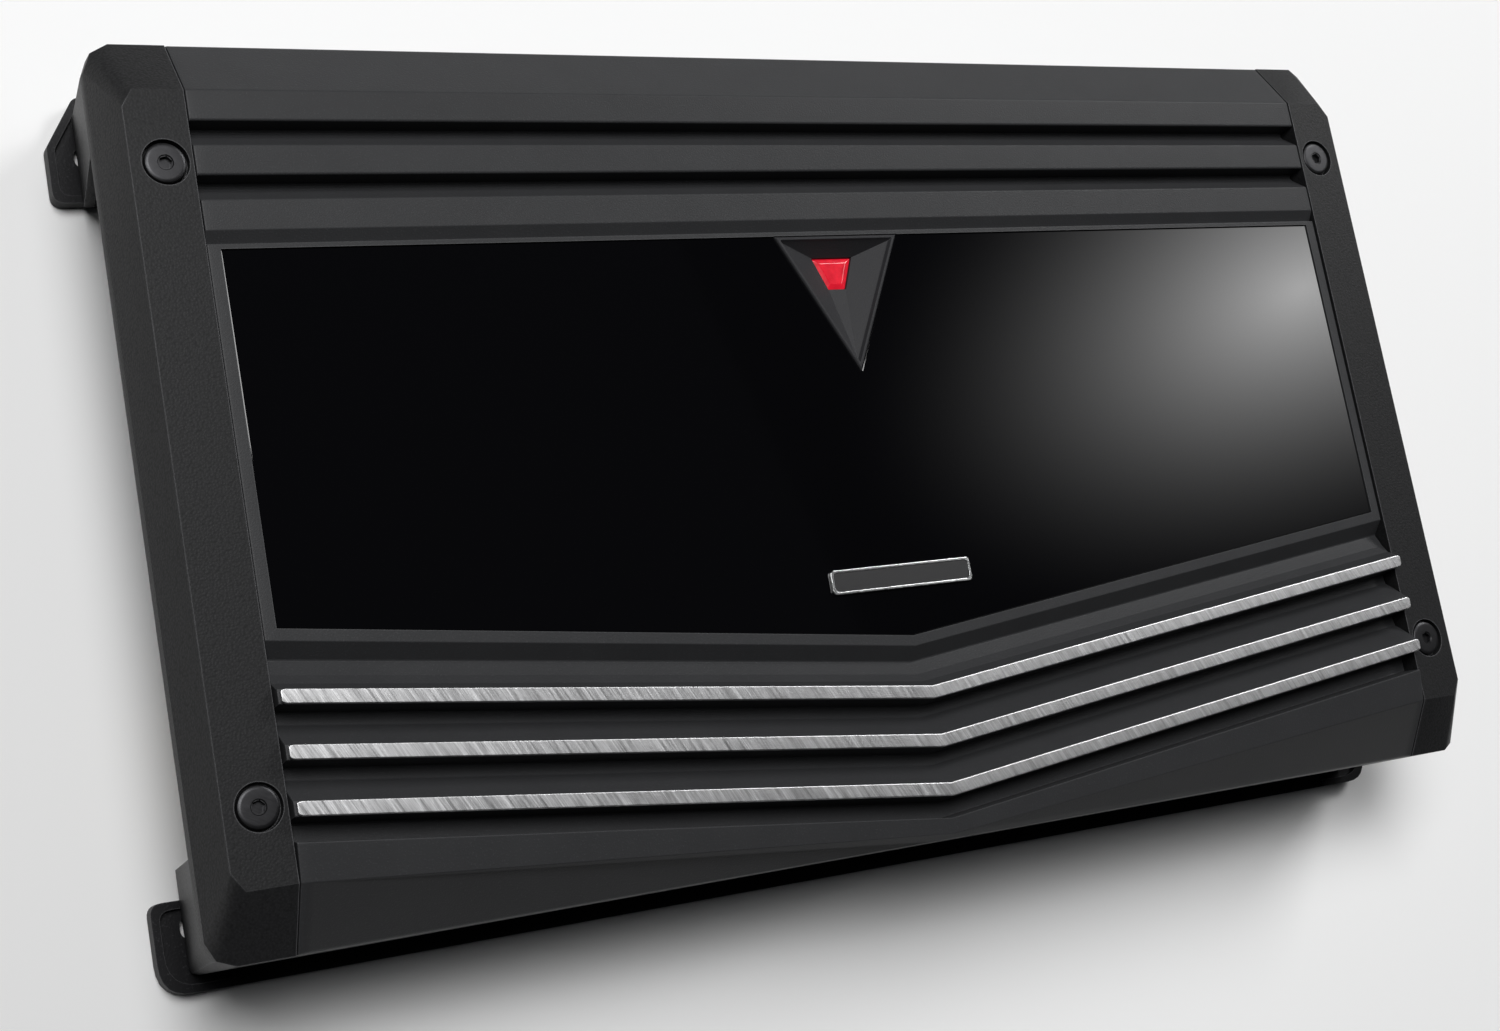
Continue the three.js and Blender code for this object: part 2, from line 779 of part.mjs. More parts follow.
function slotOutline(x, y) {
  const radius = footSlotWidth / 2;
  const reach = footSlotLength / 2 - radius;
  const shape = new THREE.Shape();
  shape.absarc(x + reach, y, radius, -Math.PI / 2, Math.PI / 2, false);
  shape.absarc(x - reach, y, radius, Math.PI / 2, (3 * Math.PI) / 2, false);
  return shape;
}

function mirrored(geometry) {
  const copy = geometry.clone().scale(-1, 1, 1);
  const place = copy.attributes.position;
  const order = copy.index ? Array.from(copy.index.array) : [...Array(place.count).keys()];
  for (let i = 0; i < order.length; i += 3) {
    [order[i + 1], order[i + 2]] = [order[i + 2], order[i + 1]];
  }
  copy.setIndex(order);
  return copy;
}

function buildBasePlate() {
  const half = panelFace + baseSill;
  let body = solid(box(-half, half, -baseHalfDepth, baseHalfDepth, 0, baseThickness));
  const slotX = footHalfLength - footSlotInset;
  const slotY = baseHalfDepth - footSlotFromEdge;
  for (const rear of [false, true]) {
    const foot = solid(alongZ(footOutline(rear, 0), 0, footThickness));
    const step = panelFace + jointGap;
    const above = footThickness + 1;
    const inside = box(0, step, -baseHalfDepth - 1, baseHalfDepth + 1, baseThickness, above);
    const dish = alongZ(footOutline(rear, footRim), footThickness - footRecess, above);
    const slot = alongZ(slotOutline(slotX, rear ? slotY : -slotY), -1, footThickness + 1);
    const finished = geometryOf(cut(foot, inside, dish, slot));
    body = body.add(solid(finished)).add(solid(mirrored(finished)));
  }
  for (const [x, y] of corners(bossX, bossY)) {
    const seatRadius = baseScrewHeadRadius + baseScrewFit;
    const seat = barZ(seatRadius, x, y, -1, baseScrewHeadHeight + baseScrewSink);
    const hole = barZ(baseScrewRadius + baseScrewHoleFit, x, y, -1, baseThickness + 1);
    body = cut(body, seat, hole);
  }
  for (const [x, y] of corners(standoffX, standoffY)) {
    body = body.add(solid(barZ(standoffRadius, x, y, 0.5, boardBottom, 16)));
  }
  return body;
}

piece("base_plate", geometryOf(buildBasePlate()), finishes.steel);

function buildBaseScrew() {
  const head = barZ(baseScrewHeadRadius, 0, 0, 0, baseScrewHeadHeight);
  const shank = barZ(baseScrewRadius, 0, 0, 1, baseScrewLength, 16);
  const [long, wide] = [crossHalfLength, crossHalfWidth];
  const arms = [box(-wide, wide, -long, long, -1, 1), box(-long, long, -wide, wide, -1, 1)];
  return geometryOf(cut(join(head, shank), ...arms));
}

const baseScrewGeometry = buildBaseScrew();
corners(bossX, bossY).forEach(([x, y], i) => {
  const screw = piece("base_screw_" + cornerNames[i], baseScrewGeometry, finishes.zinc);
  screw.position.set(x, y, baseScrewSink);
});

// ---------- circuit board and what stands on it ----------

piece(
  "main_circuit_board",
  box(-boardHalfLength, boardHalfLength, -boardHalfDepth, boardHalfDepth, 0, boardThickness),
  finishes.board,
).position.z = boardBottom;

const onBoard = new THREE.Group();
onBoard.position.z = boardTop;
amplifier.add(onBoard);

function buildCapacitor() {
  const r = capacitorRadius;
  const h = capacitorHeight;
  const profile = [
    [0, 0],
    [r - 0.6, 0],
    [r, 0.8],
    [r, 2.6],
    [r - 0.9, 3.2],
    [r - 0.9, 4],
    [r, 4.6],
    [r, h - 0.8],
    [r - 0.8, h],
    [0, h],
  ];
  const points = profile.map(([x, z]) => new THREE.Vector2(x, z));
  return new THREE.LatheGeometry(points, 20).rotateX(Math.PI / 2);
}

const capacitorGeometry = geometryOf(solid(buildCapacitor()));
capacitorXs.forEach((x, i) => {
  const part = piece("reservoir_capacitor_" + (i + 1), capacitorGeometry, finishes.sleeve, onBoard);
  part.position.set(x, capacitorY, 0);
});

function addToroid(name, x, ring, tube) {
  const torus = new THREE.TorusGeometry(ring, tube, 10, 24);
  const part = piece(name, geometryOf(solid(torus)), finishes.copper, onBoard);
  part.position.set(x, toroidY, tube);
}

const transformerX = boardHalfLength - transformerFromEnd;
const inductorX = inductorFromEnd - boardHalfLength;
addToroid("power_transformer", transformerX, transformerRing, transformerTube);
addToroid("output_inductor", inductorX, inductorRing, inductorTube);

function buildTransistor() {
  const [w, t, h] = [transistorWidth, transistorThickness, transistorHeight];
  const rise = h - transistorBody;
  const legs = [-1, 0, 1].map((n) => box(n * 4 - 0.6, n * 4 + 0.6, -0.4, 0.4, 0, rise + 1));
  const body = join(box(-w / 2, w / 2, -t / 2, t / 2, rise, h), ...legs);
  const feet = legs.map((_, n) => box((n - 1) * 4 - 1, (n - 1) * 4 + 1, -0.8, 0.8, 0, 0.6));
  return geometryOf(feet.reduce((sum, foot) => sum.add(solid(foot)), body));
}

const transistorGeometry = buildTransistor();
const transistorY = webY - jointGap - transistorThickness / 2;
transistorXs.forEach((x, i) => {
  const part = piece("power_transistor_" + (i + 1), transistorGeometry, finishes.sleeve, onBoard);
  part.position.set(x, transistorY, 0);
});

const clampFace = webY - jointGap - transistorThickness;
const clampMiddle = (transistorXs[0] + transistorXs[transistorXs.length - 1]) / 2;
const clampHalf = (transistorXs[transistorXs.length - 1] - transistorXs[0] + transistorWidth) / 2;
const clampLow = transistorHeight - clampHeight;
const clampBar = join(
  box(-clampHalf, clampHalf, -clampThickness, 0, clampLow, transistorHeight - 1),
  box(-clampHalf, clampHalf, -clampThickness - 3, -clampThickness + 0.5, clampLow, clampLow + 1.5),
);
const clamp = piece("transistor_clamp_bar", geometryOf(clampBar), finishes.zinc, onBoard);
clamp.position.set(clampMiddle, clampFace, 0);

// ---------- indicator lamp ----------

const lampBoardTop = ceiling - lampSpacer;
const lampBody = join(
  box(
    -lampBoardHalfLength,
    lampBoardHalfLength,
    -lampBoardHalfWidth,
    lampBoardHalfWidth,
    lampBoardTop - lampBoardThickness,
    lampBoardTop,
  ),
  barZ(lampRadius, 0, 0, lampBoardTop - lampBoardThickness / 2, ceiling + lampReach, 16),
);
piece("indicator_lamp_board", geometryOf(lampBody), finishes.board).position.y = lensMiddle;

// ---------- places along the end panels ----------

// Middles along Y of parts with the given widths, spread evenly over the caps' openings.
function spreadOut(widths) {
  const used = Object.values(widths).reduce((sum, width) => sum + width, 0);
  const gap = (2 * capOpeningHalf - used) / (Object.keys(widths).length + 1);
  const middles = {};
  let edge = -capOpeningHalf + gap;
  for (const [name, width] of Object.entries(widths)) {
    middles[name] = edge + width / 2;
    edge += width + gap;
  }
  return middles;
}

function blockWidth(bays) {
  return bays * (terminalPitch - terminalWall) + (bays + 1) * terminalWall;
}

const fuseHolderWidth = fuseCount * fusePitch;
const inputWidth = inputPitch + 2 * inputMargin;
const powerBays = 3;
const speakerBays = 2;
const powerSpots = spreadOut({
  power: blockWidth(powerBays),
  fuses: fuseHolderWidth,
  speaker: blockWidth(speakerBays),
});
const controlSpots = spreadOut({
  input: inputWidth,
  gain_knob: controlBody,
  low_pass_knob: controlBody,
  bass_boost_knob: controlBody,
  phase_switch: switchWidth,
  filter_switch: switchWidth,
  jack: jackWidth,
});
const partTop = capBrowBottom - partHeadroom;

function panelBlank(side) {
  const [near, far] = side > 0 ? [panelInner, panelFace] : [-panelFace, -panelInner];
  return solid(box(near, far, -panelHalfDepth, panelHalfDepth, capBottom, panelTop));
}

// A window through a panel for something of the given half width, between two heights.
function panelHole(side, y, halfWidth, z0, z1) {
  const c = panelClearance;
  const [near, far] = side > 0 ? [panelInner - 1, panelFace + 1] : [-panelFace - 1, -panelInner + 1];
  return box(near, far, y - halfWidth - c, y + halfWidth + c, z0 - c, z1 + c);
}

// ---------- power end ----------

const bayFloor = panelFace + 1; // face that a cable lug is screwed against
const bayMouth = bayFloor + terminalScrewHeadHeight + terminalScrewTravel + terminalCover;
const terminalZ = (boardTop + partTop) / 2;

function bayCentres(bays) {
  return Array.from({ length: bays }, (_, i) => (i - (bays - 1) / 2) * terminalPitch);
}

// A terminal block with open bays, drilled for its clamp screws; its middle is at y = 0.
function buildTerminalBlock(bays) {
  const half = blockWidth(bays) / 2;
  const bay = (terminalPitch - terminalWall) / 2;
  let body = solid(box(bayFloor - terminalTail, bayMouth, -half, half, boardTop, partTop));
  for (const y of bayCentres(bays)) {
    const room = box(bayFloor, bayMouth + 1, y - bay, y + bay, boardTop + terminalSill, partTop + 1);
    const reach = bayFloor - terminalScrewLength - 1;
    const drill = barX(terminalScrewRadius + screwFit, y, terminalZ, reach, bayMouth);
    body = cut(body, room, drill);
  }
  return geometryOf(body);
}

const powerBlock = piece("power_terminal_block", buildTerminalBlock(powerBays), finishes.blackPlastic);
powerBlock.position.y = powerSpots.power;
const speakerBlock = piece(
  "speaker_terminal_block",
  buildTerminalBlock(speakerBays),
  finishes.blackPlastic,
);
speakerBlock.position.y = powerSpots.speaker;

function buildTerminalScrew() {
  const top = jointGap + terminalScrewHeadHeight;
  const head = barX(terminalScrewHead, 0, 0, jointGap, top);
  const shank = barX(terminalScrewRadius, 0, 0, -terminalScrewLength, 1);
  const slots = [
    box(top - 1.3, top + 1, -3, 3, -0.6, 0.6),
    box(top - 1.3, top + 1, -0.6, 0.6, -3, 3),
  ];
  return geometryOf(cut(join(head, shank), ...slots));
}

const terminalScrewGeometry = buildTerminalScrew();

function addTerminalScrews(names, middle) {
  bayCentres(names.length).forEach((y, i) => {
    const screw = piece(names[i], terminalScrewGeometry, finishes.gold);
    screw.position.set(bayFloor, middle + y, terminalZ);
  });
}

addTerminalScrews(
  ["ground_terminal_screw", "remote_terminal_screw", "battery_terminal_screw"],
  powerSpots.power,
);
addTerminalScrews(["speaker_negative_screw", "speaker_positive_screw"], powerSpots.speaker);

const holderFace = panelFace + fuseHolderFront;
const fuseSpots = Array.from({ length: fuseCount }, (_, i) => (i - (fuseCount - 1) / 2) * fusePitch);
const bladeOffset = (fuseHeight - fuseBladeWidth) / 2 - 0.8;

function buildFuseHolder() {
  const back = holderFace - fuseHolderDepth;
  const half = fuseHolderWidth / 2;
  let body = solid(box(back, holderFace, -half, half, boardTop, partTop));
  for (const y of fuseSpots) {
    for (const z of [terminalZ - bladeOffset, terminalZ + bladeOffset]) {
      const t = fuseBladeThickness / 2 + fuseBladeFit;
      const w = fuseBladeWidth / 2 + fuseBladeFit;
      const tip = holderFace - fuseBladeLength - 1.5;
      body = cut(body, box(tip, holderFace + 1, y - t, y + t, z - w, z + w));
    }
  }
  return geometryOf(body);
}

piece("fuse_holder", buildFuseHolder(), finishes.blackPlastic).position.y = powerSpots.fuses;

function buildFuse() {
  const [t, h] = [fuseThickness / 2, fuseHeight / 2];
  const core = box(jointGap, fuseBody, -t, t, -h + 1, h - 1);
  const grip = box(fuseBody - 3.5, fuseBody, -t, t, -h, h);
  const blades = [-bladeOffset, bladeOffset].map((z) => {
    const [bt, bw] = [fuseBladeThickness / 2, fuseBladeWidth / 2];
    return box(-fuseBladeLength, 1, -bt, bt, z - bw, z + bw);
  });
  const dents = [-t, t].map((y) => box(2.5, fuseBody - 4.5, y - 0.6, y + 0.6, -h + 4, h - 4));
  return geometryOf(cut(join(core, grip, ...blades), ...dents));
}

const fuseGeometry = buildFuse();
fuseSpots.forEach((y, i) => {
  const fuse = piece("blade_fuse_" + (i + 1), fuseGeometry, finishes.fusePlastic);
  fuse.position.set(holderFace, powerSpots.fuses + y, terminalZ);
});

const powerPanel = cut(
  panelBlank(1),
  panelHole(1, powerSpots.power, blockWidth(powerBays) / 2, boardTop, partTop),
  panelHole(1, powerSpots.speaker, blockWidth(speakerBays) / 2, boardTop, partTop),
  panelHole(1, powerSpots.fuses, fuseHolderWidth / 2, boardTop, partTop),
);
piece("power_panel", geometryOf(powerPanel), finishes.steel);

// ---------- control end ----------
// This group is built facing +X and turned round to face -X, so +Y in it points to the front.

const controlEnd = new THREE.Group();
controlEnd.rotation.z = Math.PI;
amplifier.add(controlEnd);
const shaftZ = boardTop + shaftHeight;
const bodyFace = panelInner - controlSetback;
const knobNames = ["gain_knob", "low_pass_knob", "bass_boost_knob"];
const switchNames = ["phase_switch", "filter_switch"];

function buildKnob() {
  const top = panelFace + knobReach;
  const collar = barX(knobRadius, 0, 0, bodyFace + 0.4, top);
  const stub = barX(knobStubRadius, 0, 0, bodyFace - knobStubLength, bodyFace + 1);
  const slot = box(top - 1.2, top + 1, -0.6, 0.6, -knobRadius - 1, knobRadius + 1);
  return geometryOf(cut(join(collar, stub), slot));
}

function buildControlBody() {
  const half = controlBody / 2;
  const back = bodyFace - controlBodyDepth;
  const body = solid(box(back, bodyFace, -half, half, -shaftHeight, half));
  const bore = barX(knobStubRadius + screwFit, 0, 0, bodyFace - knobStubLength - 0.5, bodyFace + 1);
  return geometryOf(cut(body, bore));
}

const knobGeometry = buildKnob();
const controlGeometry = buildControlBody();
for (const name of knobNames) {
  const y = -controlSpots[name];
  piece(name, knobGeometry, finishes.blackPlastic, controlEnd).position.set(0, y, shaftZ);
  const body = piece(name.replace("knob", "control"), controlGeometry, finishes.blackPlastic, controlEnd);
  body.position.set(0, y, shaftZ);
}

// A slide switch: its lever stands at the end of its slot that is nearer the front.
const leverSlotHalf = leverSize / 2 + switchTravel / 2 + leverFit;

function buildSwitchBody() {
  const half = switchWidth / 2;
  const z = leverSize / 2 + leverFit;
  const body = solid(box(bodyFace - switchDepth, bodyFace, -half, half, -shaftHeight, 5));
  const slot = box(bodyFace - leverDepth - 0.4, bodyFace + 1, -leverSlotHalf, leverSlotHalf, -z, z);
  return geometryOf(cut(body, slot));
}

const switchGeometry = buildSwitchBody();
const leverHalf = leverSize / 2;
const leverGeometry = box(
  bodyFace - leverDepth,
  panelFace + leverReach,
  -leverHalf,
  leverHalf,
  -leverHalf,
  leverHalf,
);
for (const name of switchNames) {
  const y = -controlSpots[name];
  piece(name, switchGeometry, finishes.blackPlastic, controlEnd).position.set(0, y, shaftZ);
  const lever = piece(name + "_lever", leverGeometry, finishes.plate, controlEnd);
  lever.position.set(0, y + switchTravel / 2, shaftZ);
}

const inputFace = panelFace + 1;
const inputTop = inputRaise + 10; // above the shafts' height

function buildInputBlock() {
  const half = inputWidth / 2;
  let body = solid(box(bodyFace - jackDepth, inputFace, -half, half, -shaftHeight, inputTop));
  for (const y of [-inputPitch / 2, inputPitch / 2]) {
    const seat = barX(inputRadius + 0.2, y, inputRaise, inputFace - inputSeat, inputFace + 1);
    body = cut(body, seat);
  }
  return geometryOf(body);
}

const inputBlock = piece("line_input_block", buildInputBlock(), finishes.blackPlastic, controlEnd);
inputBlock.position.set(0, -controlSpots.input, shaftZ);

function buildInputSocket() {
  const mouth = inputFace + inputReach;
  const barrel = barX(inputRadius, 0, 0, inputFace - inputSeat, mouth);
  const collar = barX(inputRadius + 1.4, 0, 0, inputFace + jointGap, inputFace + 1.8);
  const pinHole = barX(1.7, 0, 0, mouth - 8, mouth + 1, 16);
  return geometryOf(cut(join(barrel, collar), pinHole));
}

const socketGeometry = buildInputSocket();
["line_input_socket_right", "line_input_socket_left"].forEach((name, i) => {
  const socket = piece(name, socketGeometry, finishes.gold, controlEnd);
  socket.position.set(0, -controlSpots.input + (i - 0.5) * inputPitch, shaftZ + inputRaise);
});

function buildRemoteJack() {
  const [w, h] = [jackWidth / 2, jackHeight];
  const body = solid(box(bodyFace - jackDepth, inputFace, -w, w, 0, h));
  const mouth = box(inputFace - 12, inputFace + 1, -w + 2, w - 2, 3, h - 3);
  const latch = box(inputFace - 12, inputFace + 1, -2.5, 2.5, 1.4, 4);
  return geometryOf(cut(body, mouth, latch));
}

const remoteJack = piece("remote_control_jack", buildRemoteJack(), finishes.blackPlastic, controlEnd);
remoteJack.position.set(0, -controlSpots.jack, boardTop);

let controlPanel = cut(
  panelBlank(-1),
  panelHole(-1, controlSpots.input, inputWidth / 2, boardTop, shaftZ + inputTop),
  panelHole(-1, controlSpots.jack, jackWidth / 2, boardTop, boardTop + jackHeight),
);
for (const name of knobNames) {
  const [outside, inside] = [-panelFace - 1, -panelInner + 1];
  const hole = barX(knobRadius + knobHoleFit, controlSpots[name], shaftZ, outside, inside);
  controlPanel = cut(controlPanel, hole);
}
for (const name of switchNames) {
  const [low, high] = [shaftZ - leverHalf, shaftZ + leverHalf];
  const half = leverSlotHalf - leverFit;
  controlPanel = cut(controlPanel, panelHole(-1, controlSpots[name], half, low, high));
}
piece("control_panel", geometryOf(controlPanel), finishes.steel);

export default amplifier;
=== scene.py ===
"""A car audio amplifier: a ribbed cast case with a dark window, between two end caps.

Sizes are in metres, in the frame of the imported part.
"""

import json
import logging
import math
from collections.abc import Sequence
from dataclasses import dataclass
from enum import Enum

import bmesh
import bpy
from mathutils import Matrix, Vector

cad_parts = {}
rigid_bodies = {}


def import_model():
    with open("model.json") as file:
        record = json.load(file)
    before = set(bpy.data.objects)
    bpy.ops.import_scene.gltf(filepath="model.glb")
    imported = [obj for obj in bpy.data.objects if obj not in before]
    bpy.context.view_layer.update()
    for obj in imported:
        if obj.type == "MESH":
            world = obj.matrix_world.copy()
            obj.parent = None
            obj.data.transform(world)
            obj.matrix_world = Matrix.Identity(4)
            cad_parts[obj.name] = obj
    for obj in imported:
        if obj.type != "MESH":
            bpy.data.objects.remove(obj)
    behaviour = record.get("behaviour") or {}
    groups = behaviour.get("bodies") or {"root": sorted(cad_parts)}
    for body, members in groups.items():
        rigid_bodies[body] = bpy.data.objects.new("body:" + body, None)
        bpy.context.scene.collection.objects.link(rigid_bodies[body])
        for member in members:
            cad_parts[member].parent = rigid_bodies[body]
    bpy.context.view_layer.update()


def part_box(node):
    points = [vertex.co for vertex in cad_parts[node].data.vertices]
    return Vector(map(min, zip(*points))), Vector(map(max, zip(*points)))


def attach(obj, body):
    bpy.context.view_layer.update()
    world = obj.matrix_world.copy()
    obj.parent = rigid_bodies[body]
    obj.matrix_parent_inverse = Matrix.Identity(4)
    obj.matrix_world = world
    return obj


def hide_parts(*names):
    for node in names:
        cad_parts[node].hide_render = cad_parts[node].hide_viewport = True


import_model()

log = logging.getLogger("amplifier")

MM = 0.001
CHASSIS = "chassis"
CORNERS = ("front_left", "front_right", "rear_left", "rear_right")
Point2 = tuple[float, float]
Colour = tuple[float, float, float]


# ---------------------------------------------------------------- shader maths


class Wire:
    """The output of a shader node, with arithmetic that adds nodes."""

    def __init__(self, graph: "Tree", socket: bpy.types.NodeSocket) -> None:
        """Keeps the graph and the socket."""
        self.graph = graph
        self.socket = socket

    def __add__(self, other: "Wire | float") -> "Wire":
        """Sum."""
        return self.graph.math("ADD", self, other)

    def __radd__(self, other: float) -> "Wire":
        """Sum, from a plain number."""
        return self.graph.math("ADD", other, self)

    def __sub__(self, other: "Wire | float") -> "Wire":
        """Difference."""
        return self.graph.math("SUBTRACT", self, other)

    def __rsub__(self, other: float) -> "Wire":
        """Difference, from a plain number."""
        return self.graph.math("SUBTRACT", other, self)

    def __mul__(self, other: "Wire | float") -> "Wire":
        """Product."""
        return self.graph.math("MULTIPLY", self, other)

    def __rmul__(self, other: float) -> "Wire":
        """Product, from a plain number."""
        return self.graph.math("MULTIPLY", other, self)

    def __truediv__(self, other: "Wire | float") -> "Wire":
        """Quotient."""
        return self.graph.math("DIVIDE", self, other)

    def __rtruediv__(self, other: float) -> "Wire":
        """Quotient, from a plain number."""
        return self.graph.math("DIVIDE", other, self)

    def __pow__(self, other: "Wire | float") -> "Wire":
        """Power."""
        return self.graph.math("POWER", self, other)

    def __abs__(self) -> "Wire":
        """Size without its sign."""
        return self.graph.math("ABSOLUTE", self)

    def clamped(self) -> "Wire":
        """The value held between 0 and 1."""
        return self.graph.math("MINIMUM", self.graph.math("MAXIMUM", self, 0.0), 1.0)

    def step(self, low: float, high: float) -> "Wire":
        """0 below low, 1 above high, and straight in between."""
        return ((self - low) / (high - low)).clamped()


class Tree:
    """A node tree under construction."""

    tree: bpy.types.NodeTree

    def node(
        self,
        kind: str,
        settings: dict[str, object] | None = None,
        inputs: dict[str | int, object] | None = None,
    ) -> bpy.types.Node:
        """Adds a node.

        Args:
            kind: the node's type.
            settings: its attributes.
            inputs: values or wires, by input name or number.

        Returns:
            The node.
        """
        made = self.tree.nodes.new(kind)
        for name, value in (settings or {}).items():
            setattr(made, name, value)
        for key, value in (inputs or {}).items():
            self.feed(made.inputs[key], value)
        return made

    def feed(self, socket: bpy.types.NodeSocket, value: object) -> None:
        """Joins a wire to a socket, or sets the socket's own value."""
        if isinstance(value, Wire):
            self.tree.links.new(value.socket, socket)
        elif isinstance(value, tuple) and socket.type == "RGBA":
            socket.default_value = (*value, 1.0)
        else:
            socket.default_value = value

    def math(self, operation: str, *values: "Wire | float") -> Wire:
        """A Math node on wires and numbers."""
        made = self.node("ShaderNodeMath", {"operation": operation}, dict(enumerate(values)))
        return Wire(self, made.outputs[0])

    def vector(self, operation: str, *values: "Wire | Sequence[float]") -> Wire:
        """A Vector Math node on wires and triples."""
        given = {i: v if isinstance(v, Wire) else Vector(v) for i, v in enumerate(values)}
        made = self.node("ShaderNodeVectorMath", {"operation": operation}, given)
        return Wire(self, made.outputs[0])


class Graph(Tree):
    """The node tree of one material, ending in a Principled shader."""

    def __init__(self, name: str) -> None:
        """Makes an empty material with that name."""
        self.material = bpy.data.materials.new(name)
        self.material.use_nodes = True
        self.tree = self.material.node_tree
        self.shader = self.tree.nodes["Principled BSDF"]
        self.place = Wire(self, self.node("ShaderNodeTexCoord").outputs["Object"])

    def give(self, **inputs: object) -> None:
        """Feeds the shader's inputs, named with _ in place of each space."""
        for name, value in inputs.items():
            self.feed(self.shader.inputs[name.replace("_", " ")], value)

    def stretched(self, scale: Sequence[float], turn: float = 0.0) -> Wire:
        """The object's coordinates turned about Z by an angle in radians, then scaled."""
        inputs = {"Vector": self.place, "Angle": turn}
        turned = self.node("ShaderNodeVectorRotate", {"rotation_type": "Z_AXIS"}, inputs)
        return self.vector("MULTIPLY", Wire(self, turned.outputs[0]), scale)

    def mix(self, factor: "Wire | float", a: "Wire | Colour", b: "Wire | Colour") -> Wire:
        """A colour between a and b."""
        made = self.node("ShaderNodeMix", {"data_type": "RGBA"}, {0: factor, 6: a, 7: b})
        return Wire(self, made.outputs[2])

    def noise(
        self, size: float, detail: float = 2.0, place: Wire | None = None, rough: float = 0.5
    ) -> Wire:
        """Noise between 0 and 1 whose blotches are about that size across."""
        inputs = {
            "Vector": place or self.place,
            "Scale": 1.0 / size,
            "Detail": detail,
            "Roughness": rough,
        }
        return Wire(self, self.node("ShaderNodeTexNoise", None, inputs).outputs[0])

    def cells(self, size: float, feature: str = "SMOOTH_F1", place: Wire | None = None) -> Wire:
        """Distance field of cells that are about that size across."""
        inputs = {"Vector": place or self.place, "Scale": 1.0 / size}
        made = self.node("ShaderNodeTexVoronoi", {"feature": feature}, inputs)
        return Wire(self, made.outputs["Distance"])

    def edges(self, radius: float) -> Wire:
        """1 where the surface turns sharply within a radius, 0 where it is flat."""
        made = self.node("ShaderNodeBevel", {"samples": 4}, {"Radius": radius})
        plain = self.node("ShaderNodeNewGeometry")
        dot = self.node("ShaderNodeVectorMath", {"operation": "DOT_PRODUCT"})
        self.tree.links.new(made.outputs[0], dot.inputs[0])
        self.tree.links.new(plain.outputs["Normal"], dot.inputs[1])
        return 1.0 - Wire(self, dot.outputs["Value"])

    def bump(self, height: Wire, depth: float, strength: float = 1.0) -> None:
        """Gives the shader a relief from a height between 0 and 1, depth metres deep."""
        inputs = {"Height": height, "Distance": depth, "Strength": strength}
        made = self.node("ShaderNodeBump", None, inputs)
        self.feed(self.shader.inputs["Normal"], Wire(self, made.outputs[0]))


# ---------------------------------------------------------------- finishes


_made: dict[str, bpy.types.Material] = {}


@dataclass(frozen=True)
class Finish:
    """A surface finish, made into a material once."""

    slot: str
    name: str
    colour: Colour
    rough: float = 0.5

    def material(self) -> bpy.types.Material:
        """The finish's material, built the first time it is asked for."""
        if self.name not in _made:
            graph = Graph(self.name)
            self.dress(graph)
            _made[self.name] = graph.material
        return _made[self.name]

    def dress(self, graph: Graph) -> None:
        """Feeds the shader; each kind of finish has its own way."""
        raise NotImplementedError


@dataclass(frozen=True)
class PowderCoat(Finish):
    """Dark powder coat with a fine speckle and a slight orange peel."""

    speck: Colour = (0.07, 0.07, 0.075)
    # Pale edge colour: bare metal where edges are worn, and also a painted highlight along edges.
    bare_and_highlight: Colour = (0.30, 0.30, 0.31)
    grain: float = 0.42 * MM
    relief: float = 0.05 * MM

    def dress(self, graph: Graph) -> None:
        """Speckled colour, uneven roughness and a fine relief."""
        fine = graph.noise(self.grain, 2.0)
        broad = graph.noise(14 * MM, 3.0)
        dots = fine.step(0.60, 0.74) * 0.35
        # Edges lightened toward the pale edge colour: partly real wear at worn and machined edges,
        # partly a painted highlight along edges.
        wear_and_highlight = graph.edges(0.4 * MM).step(0.03, 0.35) * 0.25
        base = graph.mix(broad, self.colour, tuple(c * 1.25 for c in self.colour))
        coat = graph.mix(dots, base, self.speck)
        graph.give(
            Base_Color=graph.mix(wear_and_highlight, coat, self.bare_and_highlight),
            Roughness=self.rough + fine * 0.16 - 0.08,
            Specular_IOR_Level=0.15,
        )
        graph.bump(fine, self.relief)


@dataclass(frozen=True)
class LeatherGrain(Finish):
    """Moulded plastic with a leather-like grain of rounded cells."""

    cell: float = 0.55 * MM
    relief: float = 0.045 * MM
    # Pale edge colour: wear on the moulded edges, and also a painted highlight along the bevelled
    # ridges.
    wear_and_highlight: Colour = (0.20, 0.20, 0.21)

    def dress(self, graph: Graph) -> None:
        """Cells in relief, glossier on their tops."""
        warp = graph.noise(self.cell * 3, 2.0)
        tops = 1.0 - graph.cells(self.cell).step(0.05, 0.75)
        height = tops * 0.8 + warp * 0.2
        # The edge mask lightens the colour along edges, partly as wear and partly as a painted
        # highlight on the chamfer and corner ridges; it also lowers the roughness there.
        edge = graph.edges(0.5 * MM).step(0.02, 0.2)
        graph.give(
            Base_Color=graph.mix(tops * 0.05 + edge * 0.6, self.colour, self.wear_and_highlight),
            Roughness=self.rough - tops * 0.08 - edge * 0.22,
            Specular_IOR_Level=0.15,
        )
        graph.bump(height, self.relief)


